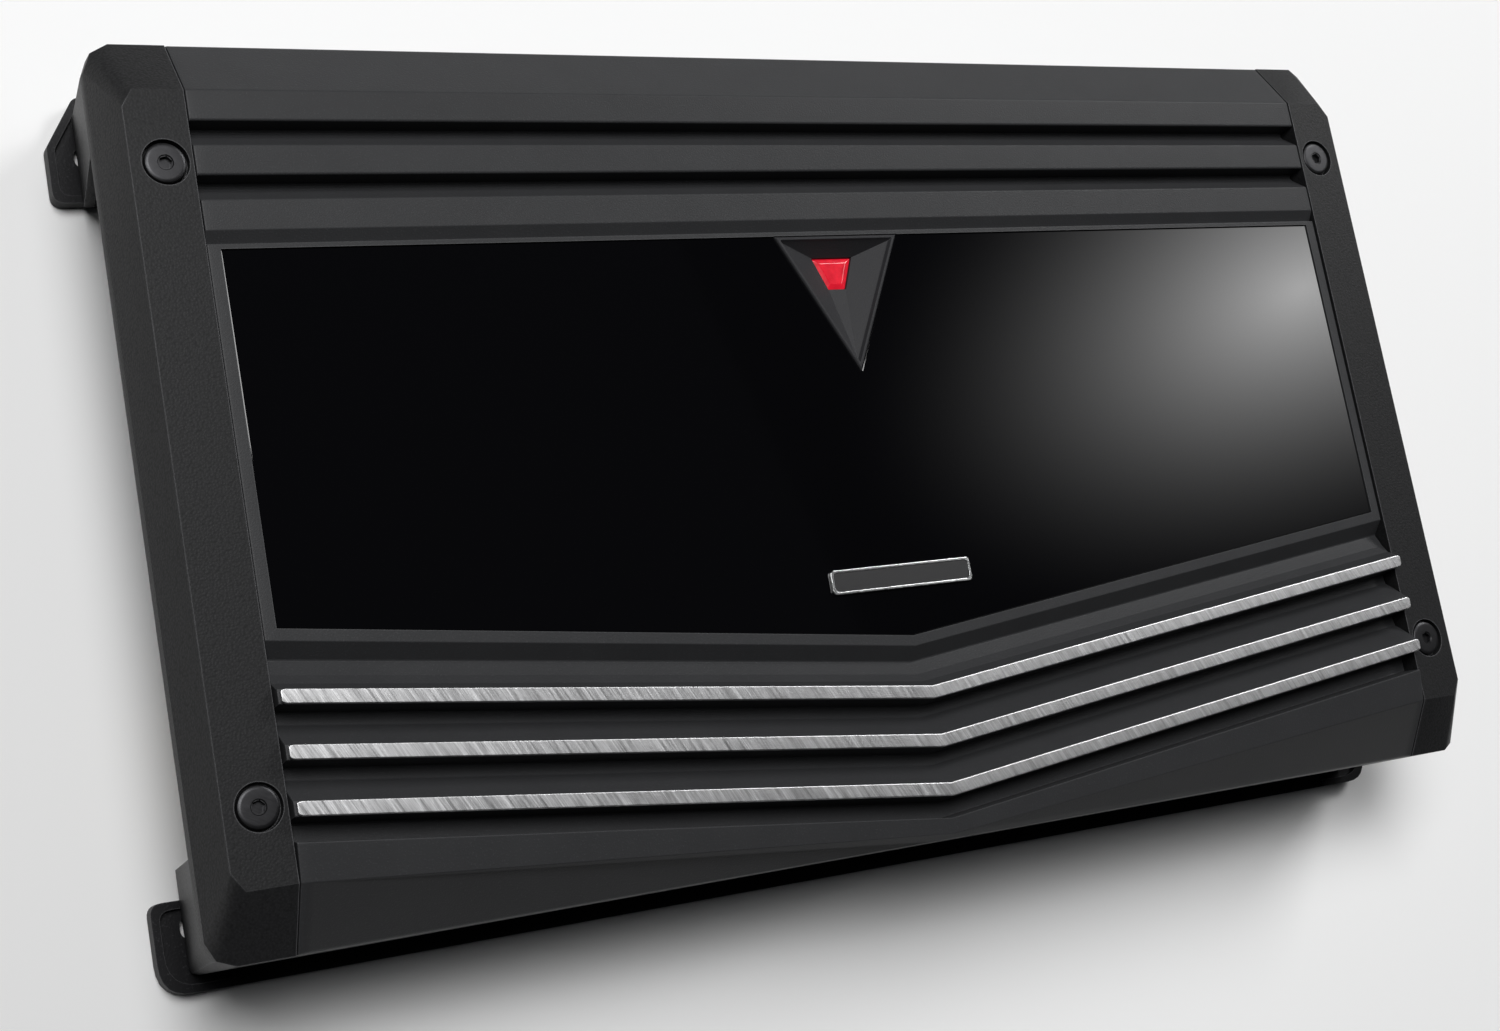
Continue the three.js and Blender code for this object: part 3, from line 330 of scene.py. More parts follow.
@dataclass(frozen=True)
class Brushed(Finish):
    """Bright metal with brush lines across it at an angle."""

    turn: float = math.radians(62)
    length: float = 9 * MM
    width: float = 0.16 * MM
    relief: float = 0.02 * MM

    def dress(self, graph: Graph) -> None:
        """Stretched noise for the lines, with lighter and darker bands."""
        along = graph.stretched((1 / self.length, 1 / self.width, 1 / self.width), self.turn)
        lines = graph.noise(1.0, 3.0, along, 0.65)
        bands = graph.noise(1.0, 1.0, graph.stretched((90.0, 900.0, 900.0), self.turn))
        shade = (lines * 0.7 + bands * 0.3).step(0.3, 0.7)
        dark = tuple(c * 0.45 for c in self.colour)
        graph.give(
            Base_Color=graph.mix(shade, dark, self.colour),
            Metallic=1.0,
            Roughness=self.rough + shade * 0.18,
        )
        graph.bump(lines, self.relief)


@dataclass(frozen=True)
class Acrylic(Finish):
    """Polished black acrylic with faint wiping marks."""

    def dress(self, graph: Graph) -> None:
        """Nearly a mirror, with a little haze."""
        haze = graph.noise(40 * MM, 4.0)
        dust = graph.noise(0.5 * MM, 1.0).step(0.74, 0.80)
        graph.give(
            Base_Color=graph.mix(dust * 0.04, self.colour, (0.05, 0.05, 0.05)),
            Roughness=self.rough + haze * 0.03,
            IOR=1.49,
        )


@dataclass(frozen=True)
class Plastic(Finish):
    """Satin moulded plastic with a very fine texture."""

    relief: float = 0.02 * MM
    grain: float = 0.25 * MM

    def dress(self, graph: Graph) -> None:
        """Fine texture and lighter worn edges."""
        fine = graph.noise(self.grain, 2.0)
        edge = graph.edges(0.25 * MM).step(0.05, 0.4) * 0.4
        light = tuple(min(1.0, c * 2.2 + 0.02) for c in self.colour)
        graph.give(
            Base_Color=graph.mix(edge + fine * 0.12, self.colour, light),
            Roughness=self.rough + fine * 0.12 - 0.06,
        )
        graph.bump(fine, self.relief)


@dataclass(frozen=True)
class Plated(Finish):
    """Plated or blackened metal with fine scratches and worn edges."""

    metal: float = 1.0

    def dress(self, graph: Graph) -> None:
        """Patchy tone, short scratches and brighter edges."""
        patch = graph.noise(1.6 * MM, 3.0)
        scratch = graph.noise(1.0, 2.0, graph.stretched((400.0, 5200.0, 2600.0), 0.5))
        edge = graph.edges(0.15 * MM).step(0.05, 0.4)
        light = tuple(min(1.0, c * 1.5 + 0.03) for c in self.colour)
        tone = (patch * 0.35 + edge * 0.5).clamped()
        graph.give(
            Base_Color=graph.mix(tone, self.colour, light),
            Metallic=self.metal,
            Roughness=self.rough + scratch * 0.2 - 0.08,
        )
        graph.bump(scratch, 0.008 * MM)


@dataclass(frozen=True)
class ClearPlastic(Finish):
    """Tinted clear plastic with an optional glow; on the red lens the glow is painted light,
    emission that makes the opaque lens look lit.
    """

    glow: float = 0.0
    clear: float = 0.6

    def dress(self, graph: Graph) -> None:
        """Tint that deepens in patches, under a polished surface."""
        flow = graph.noise(2.5 * MM, 2.0)
        deep = tuple(c * 0.45 for c in self.colour)
        tint = graph.mix(flow, deep, self.colour)
        graph.give(
            Base_Color=tint,
            Roughness=self.rough + flow * 0.06,
            Transmission_Weight=self.clear,
            Coat_Weight=0.6,
            Emission_Color=tint,
            # Emission: painted light on the red lens, which makes it look lit from within.
            Emission_Strength=self.glow,
        )


@dataclass(frozen=True)
class SolderMask(Finish):
    """Circuit board lacquer over copper tracks."""

    track: Colour = (0.05, 0.26, 0.11)
    pitch: float = 2.54 * MM

    def dress(self, graph: Graph) -> None:
        """Tracks as raised lighter lines, and small pads."""
        cells = graph.node(
            "ShaderNodeTexVoronoi",
            {"feature": "DISTANCE_TO_EDGE"},
            {"Vector": graph.place, "Scale": 1.0 / (self.pitch * 3), "Randomness": 0.6},
        )
        tracks = 1.0 - Wire(graph, cells.outputs["Distance"]).step(0.03, 0.06)
        pads = 1.0 - graph.cells(self.pitch, "F1").step(0.14, 0.2)
        raised = (tracks + pads * 0.7).clamped()
        graph.give(
            Base_Color=graph.mix(raised, self.colour, self.track),
            Roughness=self.rough + raised * 0.1,
            Coat_Weight=0.4,
        )
        graph.bump(raised, 0.03 * MM)


@dataclass(frozen=True)
class StudioFloor(Finish):
    """Pale matt studio floor."""

    def dress(self, graph: Graph) -> None:
        """Barely uneven tone."""
        tone = graph.noise(0.5, 2.0)
        graph.give(
            Base_Color=graph.mix(tone * 0.15, self.colour, (0.9, 0.9, 0.9)),
            Roughness=self.rough + tone * 0.05,
            Specular_IOR_Level=0.0,
        )


@dataclass(frozen=True)
class GlowCard(Finish):
    """A light card, brightest in the middle."""

    reach: tuple[float, float] = (0.38, 0.62)
    strength: float = 8.5
    fade: float = 3.1

    def dress(self, graph: Graph) -> None:
        """Glow that falls off from the middle, a little uneven."""
        near = graph.vector("MULTIPLY", graph.place, (1 / self.reach[0], 1 / self.reach[1], 1.0))
        ball = graph.node("ShaderNodeTexGradient", {"gradient_type": "SPHERICAL"}, {0: near})
        fall = Wire(graph, ball.outputs["Fac"]) ** self.fade
        tone = fall * (graph.noise(0.4, 1.0) * 0.1 + 0.9)
        graph.give(
            Base_Color=(0.0, 0.0, 0.0),
            Specular_IOR_Level=0.0,
            Emission_Color=graph.mix(tone, (0.0, 0.0, 0.0), self.colour),
            Emission_Strength=self.strength,
        )


POWDER = PowderCoat("powder_coat", "powder_coat", (0.027, 0.0275, 0.029), 0.44)
GRAIN = LeatherGrain("grain", "cap_grain", (0.0095, 0.0097, 0.0102), 0.50)
BEZEL = PowderCoat("bezel", "bezel_texture", (0.022, 0.022, 0.024), 0.50, grain=0.3 * MM)
BRIGHT = Brushed("brushed", "brushed_strip", (0.88, 0.88, 0.89), 0.29)
GLOSS = Acrylic("acrylic", "window_acrylic", (0.002, 0.002, 0.0025), 0.03)
# The lens glows: painted light, since the lens is opaque and no lamp light passes through it; the
# indicator lamp shares this glow.
RED = ClearPlastic("lens", "indicator_red", (0.70, 0.012, 0.03), 0.16, glow=0.45, clear=0.0)
BLACK_SCREW = Plated("black_screw", "black_oxide", (0.025, 0.025, 0.027), 0.36, metal=0.8)
ZINC = Plated("zinc", "zinc_plate", (0.55, 0.56, 0.57), 0.30)
GOLD = Plated("gold", "gold_plate", (0.86, 0.60, 0.22), 0.20)
PLATE = Plated("plate", "name_plate_metal", (0.78, 0.79, 0.80), 0.22)
STEEL = PowderCoat("black_steel", "painted_steel", (0.008, 0.008, 0.009), 0.46, grain=0.6 * MM)
BLACK = Plastic("black_plastic", "black_plastic", (0.014, 0.014, 0.015), 0.42)
WHITE = Plastic("black_plastic", "white_plastic", (0.62, 0.62, 0.60), 0.45)
RED_PLASTIC = Plastic("black_plastic", "red_plastic", (0.50, 0.02, 0.02), 0.42)
FUSE = ClearPlastic("fuse_plastic", "fuse_orange", (0.92, 0.28, 0.02), 0.08)
BOARD = SolderMask("board", "board_lacquer", (0.012, 0.13, 0.05), 0.35)
COPPER = Plated("copper", "enamelled_copper", (0.58, 0.20, 0.07), 0.32)
SLEEVE = Plastic("sleeve", "capacitor_sleeve", (0.012, 0.016, 0.035), 0.28)


# ---------------------------------------------------------------- shapes


class Axis(Enum):
    """The axis that an outline is drawn out along, with the two axes of its plane."""

    X = (1, 2, 0)
    Y = (0, 2, 1)
    Z = (0, 1, 2)

    def point(self, u: float, v: float, w: float) -> Vector:
        """The point at (u, v) in the outline's plane and w along the axis."""
        made = Vector((0.0, 0.0, 0.0))
        for index, value in zip(self.value, (u, v, w)):
            made[index] = value
        return made


def rounded(corners: Sequence[tuple[float, ...]], steps: int = 3) -> list[Point2]:
    """Rounds an outline's corners.

    Args:
        corners: (u, v) for a sharp corner, (u, v, radius) for a round one.
        steps: how many pieces an arc has.

    Returns:
        The outline's points.
    """
    made: list[Point2] = []
    count = len(corners)
    for i, corner in enumerate(corners):
        here = Vector(corner[:2])
        if len(corner) < 3 or corner[2] <= 0:
            made.append(tuple(here))
            continue
        back = Vector(corners[i - 1][:2]) - here
        ahead = Vector(corners[(i + 1) % count][:2]) - here
        half = back.angle(ahead) / 2
        reach = min(corner[2] / math.tan(half), 0.48 * back.length, 0.48 * ahead.length)
        start = here + back.normalized() * reach
        end = here + ahead.normalized() * reach
        for k in range(steps + 1):
            t = k / steps
            made.append(tuple(start * (1 - t) ** 2 + here * 2 * t * (1 - t) + end * t**2))
    return made


def evaluated(thing: bpy.types.Object) -> bpy.types.Mesh:
    """The object's mesh with its modifiers worked in, as a new plain mesh."""
    graph = bpy.context.evaluated_depsgraph_get()
    graph.update()
    return bpy.data.meshes.new_from_object(thing.evaluated_get(graph))


class Shape:
    """A closed surface in the making."""

    def __init__(self, mesh: bpy.types.Mesh) -> None:
        """Takes a mesh over."""
        self.mesh = mesh

    @classmethod
    def of(cls, work: bmesh.types.BMesh) -> "Shape":
        """Ends work on a bmesh: joins equal points and turns its faces outwards."""
        bmesh.ops.remove_doubles(work, verts=work.verts, dist=1e-6)
        bmesh.ops.recalc_face_normals(work, faces=work.faces)
        mesh = bpy.data.meshes.new("shape")
        work.to_mesh(mesh)
        work.free()
        return cls(mesh)

    @classmethod
    def loft(cls, rings: Sequence[Sequence[Vector]]) -> "Shape":
        """A skin over rings with equal numbers of points, closed at both ends."""
        work = bmesh.new()
        made = [[work.verts.new(p) for p in ring] for ring in rings]
        count = len(made[0])
        for near, far in zip(made, made[1:]):
            for i in range(count):
                j = (i + 1) % count
                work.faces.new((near[i], near[j], far[j], far[i]))
        work.faces.new(made[0])
        work.faces.new(made[-1])
        return cls.of(work)

    @classmethod
    def bar(
        cls, axis: Axis, radius: float, centre: Sequence[float], low: float, high: float
    ) -> "Shape":
        """A round bar along an axis, between two places on it."""
        return cls.turned([(0, low), (radius, low), (radius, high), (0, high)], axis, centre, 32)

    @classmethod
    def hull(cls, points: Sequence[Vector]) -> "Shape":
        """The smallest convex form around some points."""
        work = bmesh.new()
        for point in points:
            work.verts.new(point)
        made = bmesh.ops.convex_hull(work, input=work.verts)
        spare = [g for g in made["geom_interior"] if isinstance(g, bmesh.types.BMVert)]
        bmesh.ops.delete(work, geom=spare, context="VERTS")
        return cls.of(work)

    @classmethod
    def prism(cls, outline: Sequence[Point2], axis: Axis, low: float, high: float) -> "Shape":
        """An outline drawn out along an axis."""
        return cls.loft([[axis.point(u, v, w) for u, v in outline] for w in (low, high)])

    @classmethod
    def block(cls, low: Sequence[float], high: Sequence[float]) -> "Shape":
        """A box between two corners."""
        outline = [(low[0], low[1]), (high[0], low[1]), (high[0], high[1]), (low[0], high[1])]
        return cls.prism(outline, Axis.Z, low[2], high[2])

    @classmethod
    def turned(
        cls, profile: Sequence[Point2], axis: Axis, centre: Sequence[float], sides: int = 48
    ) -> "Shape":
        """A profile of (radius, place along the axis), turned about the axis through a centre."""
        rings = []
        for k in range(sides):
            angle = 2 * math.pi * k / sides
            turn = (math.cos(angle), math.sin(angle))
            rings.append([axis.point(r * turn[0], r * turn[1], w) for r, w in profile])
        work = bmesh.new()
        made = [[work.verts.new(p + Vector(centre)) for p in ring] for ring in rings]
        for k in range(sides):
            near, far = made[k], made[(k + 1) % sides]
            for i in range(len(profile)):
                j = (i + 1) % len(profile)
                corners = [near[i], near[j], far[j], far[i]]
                work.faces.new(corners)
        bmesh.ops.remove_doubles(work, verts=work.verts, dist=1e-7)
        bmesh.ops.dissolve_degenerate(work, edges=work.edges, dist=1e-7)
        return cls.of(work)

    def _with(self, other: "Shape", operation: str) -> "Shape":
        """This shape after a boolean with another."""
        scene = bpy.context.scene.collection.objects
        mine = bpy.data.objects.new("mine", self.mesh)
        tool = bpy.data.objects.new("tool", other.mesh)
        scene.link(mine)
        scene.link(tool)
        change = mine.modifiers.new("change", "BOOLEAN")
        change.operation = operation
        change.solver = "EXACT"
        change.object = tool
        made = evaluated(mine)
        bpy.data.objects.remove(mine)
        bpy.data.objects.remove(tool)
        return Shape(made)

    def cut(self, *others: "Shape") -> "Shape":
        """This shape without the others."""
        made = self
        for other in others:
            made = made._with(other, "DIFFERENCE")
        return made

    def joined(self, *others: "Shape") -> "Shape":
        """This shape united with the others."""
        made = self
        for other in others:
            made = made._with(other, "UNION")
        return made

    def common(self, other: "Shape") -> "Shape":
        """What this shape shares with another."""
        return self._with(other, "INTERSECT")

    def beside(self, *others: "Shape") -> "Shape":
        """This shape and others that it doesn't touch, in one mesh."""
        work = bmesh.new()
        for shape in (self, *others):
            work.from_mesh(shape.mesh)
        mesh = bpy.data.meshes.new("shape")
        work.to_mesh(mesh)
        work.free()
        return Shape(mesh)

    def placed(self, matrix: Matrix) -> "Shape":
        """A moved or turned copy."""
        copy = self.mesh.copy()
        copy.transform(matrix)
        return Shape(copy)

    def mirrored(self, axis: int) -> "Shape":
        """A mirror image across the plane through the origin, square to an axis."""
        scale = Matrix.Identity(4)
        scale[axis][axis] = -1
        work = bmesh.new()
        work.from_mesh(self.mesh)
        bmesh.ops.transform(work, matrix=scale, verts=work.verts)
        return Shape.of(work)

    def softened(self, width: float, steps: int = 2, angle: float = 28.0) -> "Shape":
        """The shape with its edges broken to a width, where they are sharper than an angle."""
        work = bmesh.new()
        work.from_mesh(self.mesh)
        bmesh.ops.remove_doubles(work, verts=work.verts, dist=1e-6)
        bmesh.ops.dissolve_limit(
            work, angle_limit=math.radians(0.5), verts=work.verts, edges=work.edges
        )
        mesh = bpy.data.meshes.new("shape")
        work.to_mesh(mesh)
        work.free()
        holder = bpy.data.objects.new("holder", mesh)
        bpy.context.scene.collection.objects.link(holder)
        bevel = holder.modifiers.new("bevel", "BEVEL")
        bevel.width = width
        bevel.segments = steps
        bevel.limit_method = "ANGLE"
        bevel.angle_limit = math.radians(angle)
        bevel.miter_outer = "MITER_ARC"
        bevel.use_clamp_overlap = True
        made = evaluated(holder)
        bpy.data.objects.remove(holder)
        return Shape(made)

    def piece(
        self,
        name: str,
        finish: Finish,
        body: str = CHASSIS,
        stands_for: Sequence[str] = (),
        smooth: float = 40.0,
    ) -> bpy.types.Object:
        """Turns the shape into a finished piece.

        Args:
            name: the piece's name.
            finish: its finish.
            body: the CAD body that it rides on.
            stands_for: the CAD nodes that it replaces.
            smooth: faces that meet at less than this angle, in degrees, are shaded as one.

        Returns:
            The object.
        """
        self.mesh.name = name
        for polygon in self.mesh.polygons:
            polygon.use_smooth = True
            polygon.material_index = 0
        work = bmesh.new()
        work.from_mesh(self.mesh)
        for edge in work.edges:
            edge.smooth = edge.calc_face_angle(math.pi) < math.radians(smooth)
        work.to_mesh(self.mesh)
        work.free()
        holder = bpy.data.objects.new("holder", self.mesh)
        bpy.context.scene.collection.objects.link(holder)
        weighted = holder.modifiers.new("weighted", "WEIGHTED_NORMAL")
        weighted.keep_sharp = True
        weighted.weight = 100
        mesh = evaluated(holder)
        bpy.data.objects.remove(holder)
        mesh.name = name
        mesh.materials.clear()
        mesh.materials.append(finish.material())
        made = bpy.data.objects.new(name, mesh)
        bpy.context.scene.collection.objects.link(made)
        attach(made, body)
        if stands_for:
            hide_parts(*stands_for)
        log.info("%s: %d faces", name, len(mesh.polygons))
        return made


# ---------------------------------------------------------------- repeats and windings


class Weave(Tree):
    """A Geometry Nodes tree with named inputs, worked on a shape."""

    def __init__(self, name: str) -> None:
        """Makes a tree that so far has only its geometry input and output."""
        self.tree = bpy.data.node_groups.new(name, "GeometryNodeTree")
        self.values: dict[str, object] = {}
        for side in ("INPUT", "OUTPUT"):
            self.tree.interface.new_socket(
                "Geometry", in_out=side, socket_type="NodeSocketGeometry"
            )
        self.start = self.node("NodeGroupInput")

    def given(self, name: str, kind: str, value: object) -> Wire:
        """A named input of the tree, with the value it will get."""
        made = self.tree.interface.new_socket(
            name, in_out="INPUT", socket_type=f"NodeSocket{kind}"
        )
        self.values[made.identifier] = value
        return Wire(self, self.start.outputs[name])

    def number(self) -> Wire:
        """The number of each point."""
        return Wire(self, self.node("GeometryNodeInputIndex").outputs[0])

    def worked(self, shape: "Shape", geometry: Wire, finish: Finish) -> "Shape":
        """Ends the tree in real geometry with a material and works it on a shape.

        Args:
            shape: what the tree's geometry input gets.
            geometry: the wire with the result.
            finish: the finish of the result.

        Returns:
            The result as a shape.
        """
        real = self.node("GeometryNodeRealizeInstances", None, {0: geometry})
        inputs = {"Geometry": Wire(self, real.outputs[0]), "Material": finish.material()}
        dressed = self.node("GeometryNodeSetMaterial", None, inputs)
        end = self.node("NodeGroupOutput")
        self.feed(end.inputs[0], Wire(self, dressed.outputs[0]))
        holder = bpy.data.objects.new("holder", shape.mesh)
        modifier = holder.modifiers.new("weave", "NODES")
        modifier.node_group = self.tree
        for key, value in self.values.items():
            modifier[key] = value
        bpy.context.scene.collection.objects.link(holder)
        mesh = evaluated(holder)
        bpy.data.objects.remove(holder)
        mesh.materials.clear()
        return Shape(mesh)


@dataclass(frozen=True)
class Repeat:
    """Copies of a shape, each a step and a turn about the origin from the one before."""

    count: int
    step: tuple[float, float, float] = (0.0, 0.0, 0.0)
    turn: tuple[float, float, float] = (0.0, 0.0, 0.0)

    def of(self, shape: Shape, finish: Finish) -> Shape:
        """The copies in one shape, the first of them where the shape is."""
        weave = Weave("repeat")
        inputs = {
            "Count": weave.given("Count", "Int", self.count),
            "Offset": weave.given("Step", "Vector", self.step),
        }
        line = weave.node("GeometryNodeMeshLine", {"mode": "OFFSET"}, inputs)
        turn = weave.given("Turn", "Vector", self.turn)
        spread = weave.node("ShaderNodeVectorMath", {"operation": "SCALE"}, {0: turn})
        weave.feed(spread.inputs["Scale"], weave.number())
        inputs = {
            "Points": Wire(weave, line.outputs[0]),
            "Instance": Wire(weave, weave.start.outputs["Geometry"]),
            "Rotation": Wire(weave, spread.outputs[0]),
        }
        copies = weave.node("GeometryNodeInstanceOnPoints", None, inputs)
        return weave.worked(shape, Wire(weave, copies.outputs[0]), finish)

    def about(self, centre: Sequence[float], shape: Shape, finish: Finish) -> Shape:
        """The copies of a shape that is made round the origin, then moved to a centre."""
        return self.of(shape, finish).placed(Matrix.Translation(centre))


@dataclass(frozen=True)
class Winding:
    """One wire wound round a ring that lies flat, round the origin."""

    ring: float
    tube: float
    turns: int
    wire: float
    samples: int = 12
    share: float = 0.97

    def build(self, finish: Finish) -> Shape:
        """The wire as a closed tube along its path."""
        weave = Weave("winding")
        count = self.turns * self.samples
        line = weave.node(
            "GeometryNodeMeshLine", None, {"Count": weave.given("Count", "Int", count)}
        )
        ring = weave.given("Ring", "Float", self.ring)
        tube = weave.given("Tube", "Float", self.tube)
        around = weave.number() * (2 * math.pi * self.share / count)
        over = weave.number() * (2 * math.pi / self.samples)
        reach = ring + tube * weave.math("COSINE", over)
        spot = weave.node(
            "ShaderNodeCombineXYZ",
            None,
            {
                0: reach * weave.math("COSINE", around),
                1: reach * weave.math("SINE", around),
                2: tube * weave.math("SINE", over),
            },
        )
        path, place = Wire(weave, line.outputs[0]), Wire(weave, spot.outputs[0])
        inputs = {"Geometry": path, "Position": place}
        moved = weave.node("GeometryNodeSetPosition", None, inputs)
        curve = weave.node("GeometryNodeMeshToCurve", None, {0: Wire(weave, moved.outputs[0])})
        radius = weave.given("Wire", "Float", self.wire)
        profile = weave.node(
            "GeometryNodeCurvePrimitiveCircle", None, {"Resolution": 6, "Radius": radius}
        )
        inputs = {
            "Curve": Wire(weave, curve.outputs[0]),
            "Profile Curve": Wire(weave, profile.outputs[0]),
            "Fill Caps": True,
        }
        body = weave.node("GeometryNodeCurveToMesh", None, inputs)
        empty = Shape(bpy.data.meshes.new("empty"))
        return weave.worked(empty, Wire(weave, body.outputs[0]), finish)


# ---------------------------------------------------------------- places


@dataclass(frozen=True)
class Box:
    """The box of a CAD node."""

    low: Vector
    high: Vector

    @classmethod
    def of(cls, node: str) -> "Box":
        """The box of the node with that name."""
        return cls(*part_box(node))

    @property
    def middle(self) -> Vector:
        """The box's middle."""
        return (self.low + self.high) / 2

    @property
    def size(self) -> Vector:
        """The box's three lengths."""
        return self.high - self.low


@dataclass(frozen=True)
class Case:
    """The case's main places, which several sub-assemblies share."""

    half_length: float
    wall: float
    bottom: float
    top: float
    ridge_top: float
    ridge_back: float
    ridge_pitch: float
    strip_width: float
    window_back: float
    window_front: float
    window_half: float
    window_bulge: float
    ridge_bulge: float
    chamfer_run: float = 15.7 * MM
    chamfer_drop: float = 10.4 * MM
    chamfer_bulge: float = 14.6 * MM
    lip_width: float = 9.2 * MM

    @classmethod
    def from_frame(cls) -> "Case":
        """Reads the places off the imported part."""
        sink, window = Box.of("heat_sink"), Box.of("window_panel")
        strips = [Box.of(f"trim_strip_{n}") for n in ("rear", "middle", "front")]
        width, bulge = 3.5 * MM, 20.3 * MM
        ridge_bulge = strips[0].size.y - width
        return cls(
            half_length=Box.of("trim_strip_rear").high.x + 0.6 * MM,
            wall=sink.high.y,
            bottom=sink.low.z,
            top=Box.of("end_cap_right").high.z,
            ridge_top=strips[0].low.z,
            ridge_back=strips[0].high.y,
            ridge_pitch=strips[0].high.y - strips[1].high.y,
            strip_width=width,
            window_back=window.high.y,
            window_front=window.low.y + bulge,
            window_half=window.high.x,
            window_bulge=bulge,
            ridge_bulge=ridge_bulge,
        )

    @property
    def top_half(self) -> float:
        """Half the depth of the flat top."""
        return self.wall - self.chamfer_run

    @property
    def lip_back(self) -> float:
        """Back edge of the front lip."""
        return self.lip_width - self.top_half

    def bulge(self, y: float) -> float:
        """How far a point at y is pushed forward in the middle of the case."""
        stops = [
            (self.window_back, 0.0),
            (self.window_front, self.window_bulge),
            (self.ridge_back, self.ridge_bulge),
            (self.lip_back, self.ridge_bulge),
            (-self.top_half, self.chamfer_bulge),
            (-self.wall, 0.0),
        ]
        if y >= stops[0][0]:
            return 0.0
        for (y0, b0), (y1, b1) in zip(stops, stops[1:]):
            if y >= y1:
                return b0 + (b1 - b0) * (y0 - y) / (y0 - y1)
        return 0.0

    def drawn(self, x: float, y: float, z: float) -> Vector:
        """A point of the section at x, with the chevron's push."""
        share = 1 - min(1.0, abs(x) / self.half_length)
        return Vector((x, y - self.bulge(y) * share, z))

    def window_outline(self, inset: float = 0.0) -> list[Point2]:
        """The window's five corners, smaller by an inset."""
        half, tip = self.window_half - inset, self.window_front - self.window_bulge
        share = 1 - self.window_half / self.half_length
        front = self.window_front - self.window_bulge * share + inset
        return [
            (-half, self.window_back - inset),
            (-half, front),
            (0.0, tip + inset),
            (half, front),
            (half, self.window_back - inset),
        ]


# ---------------------------------------------------------------- sub-assemblies


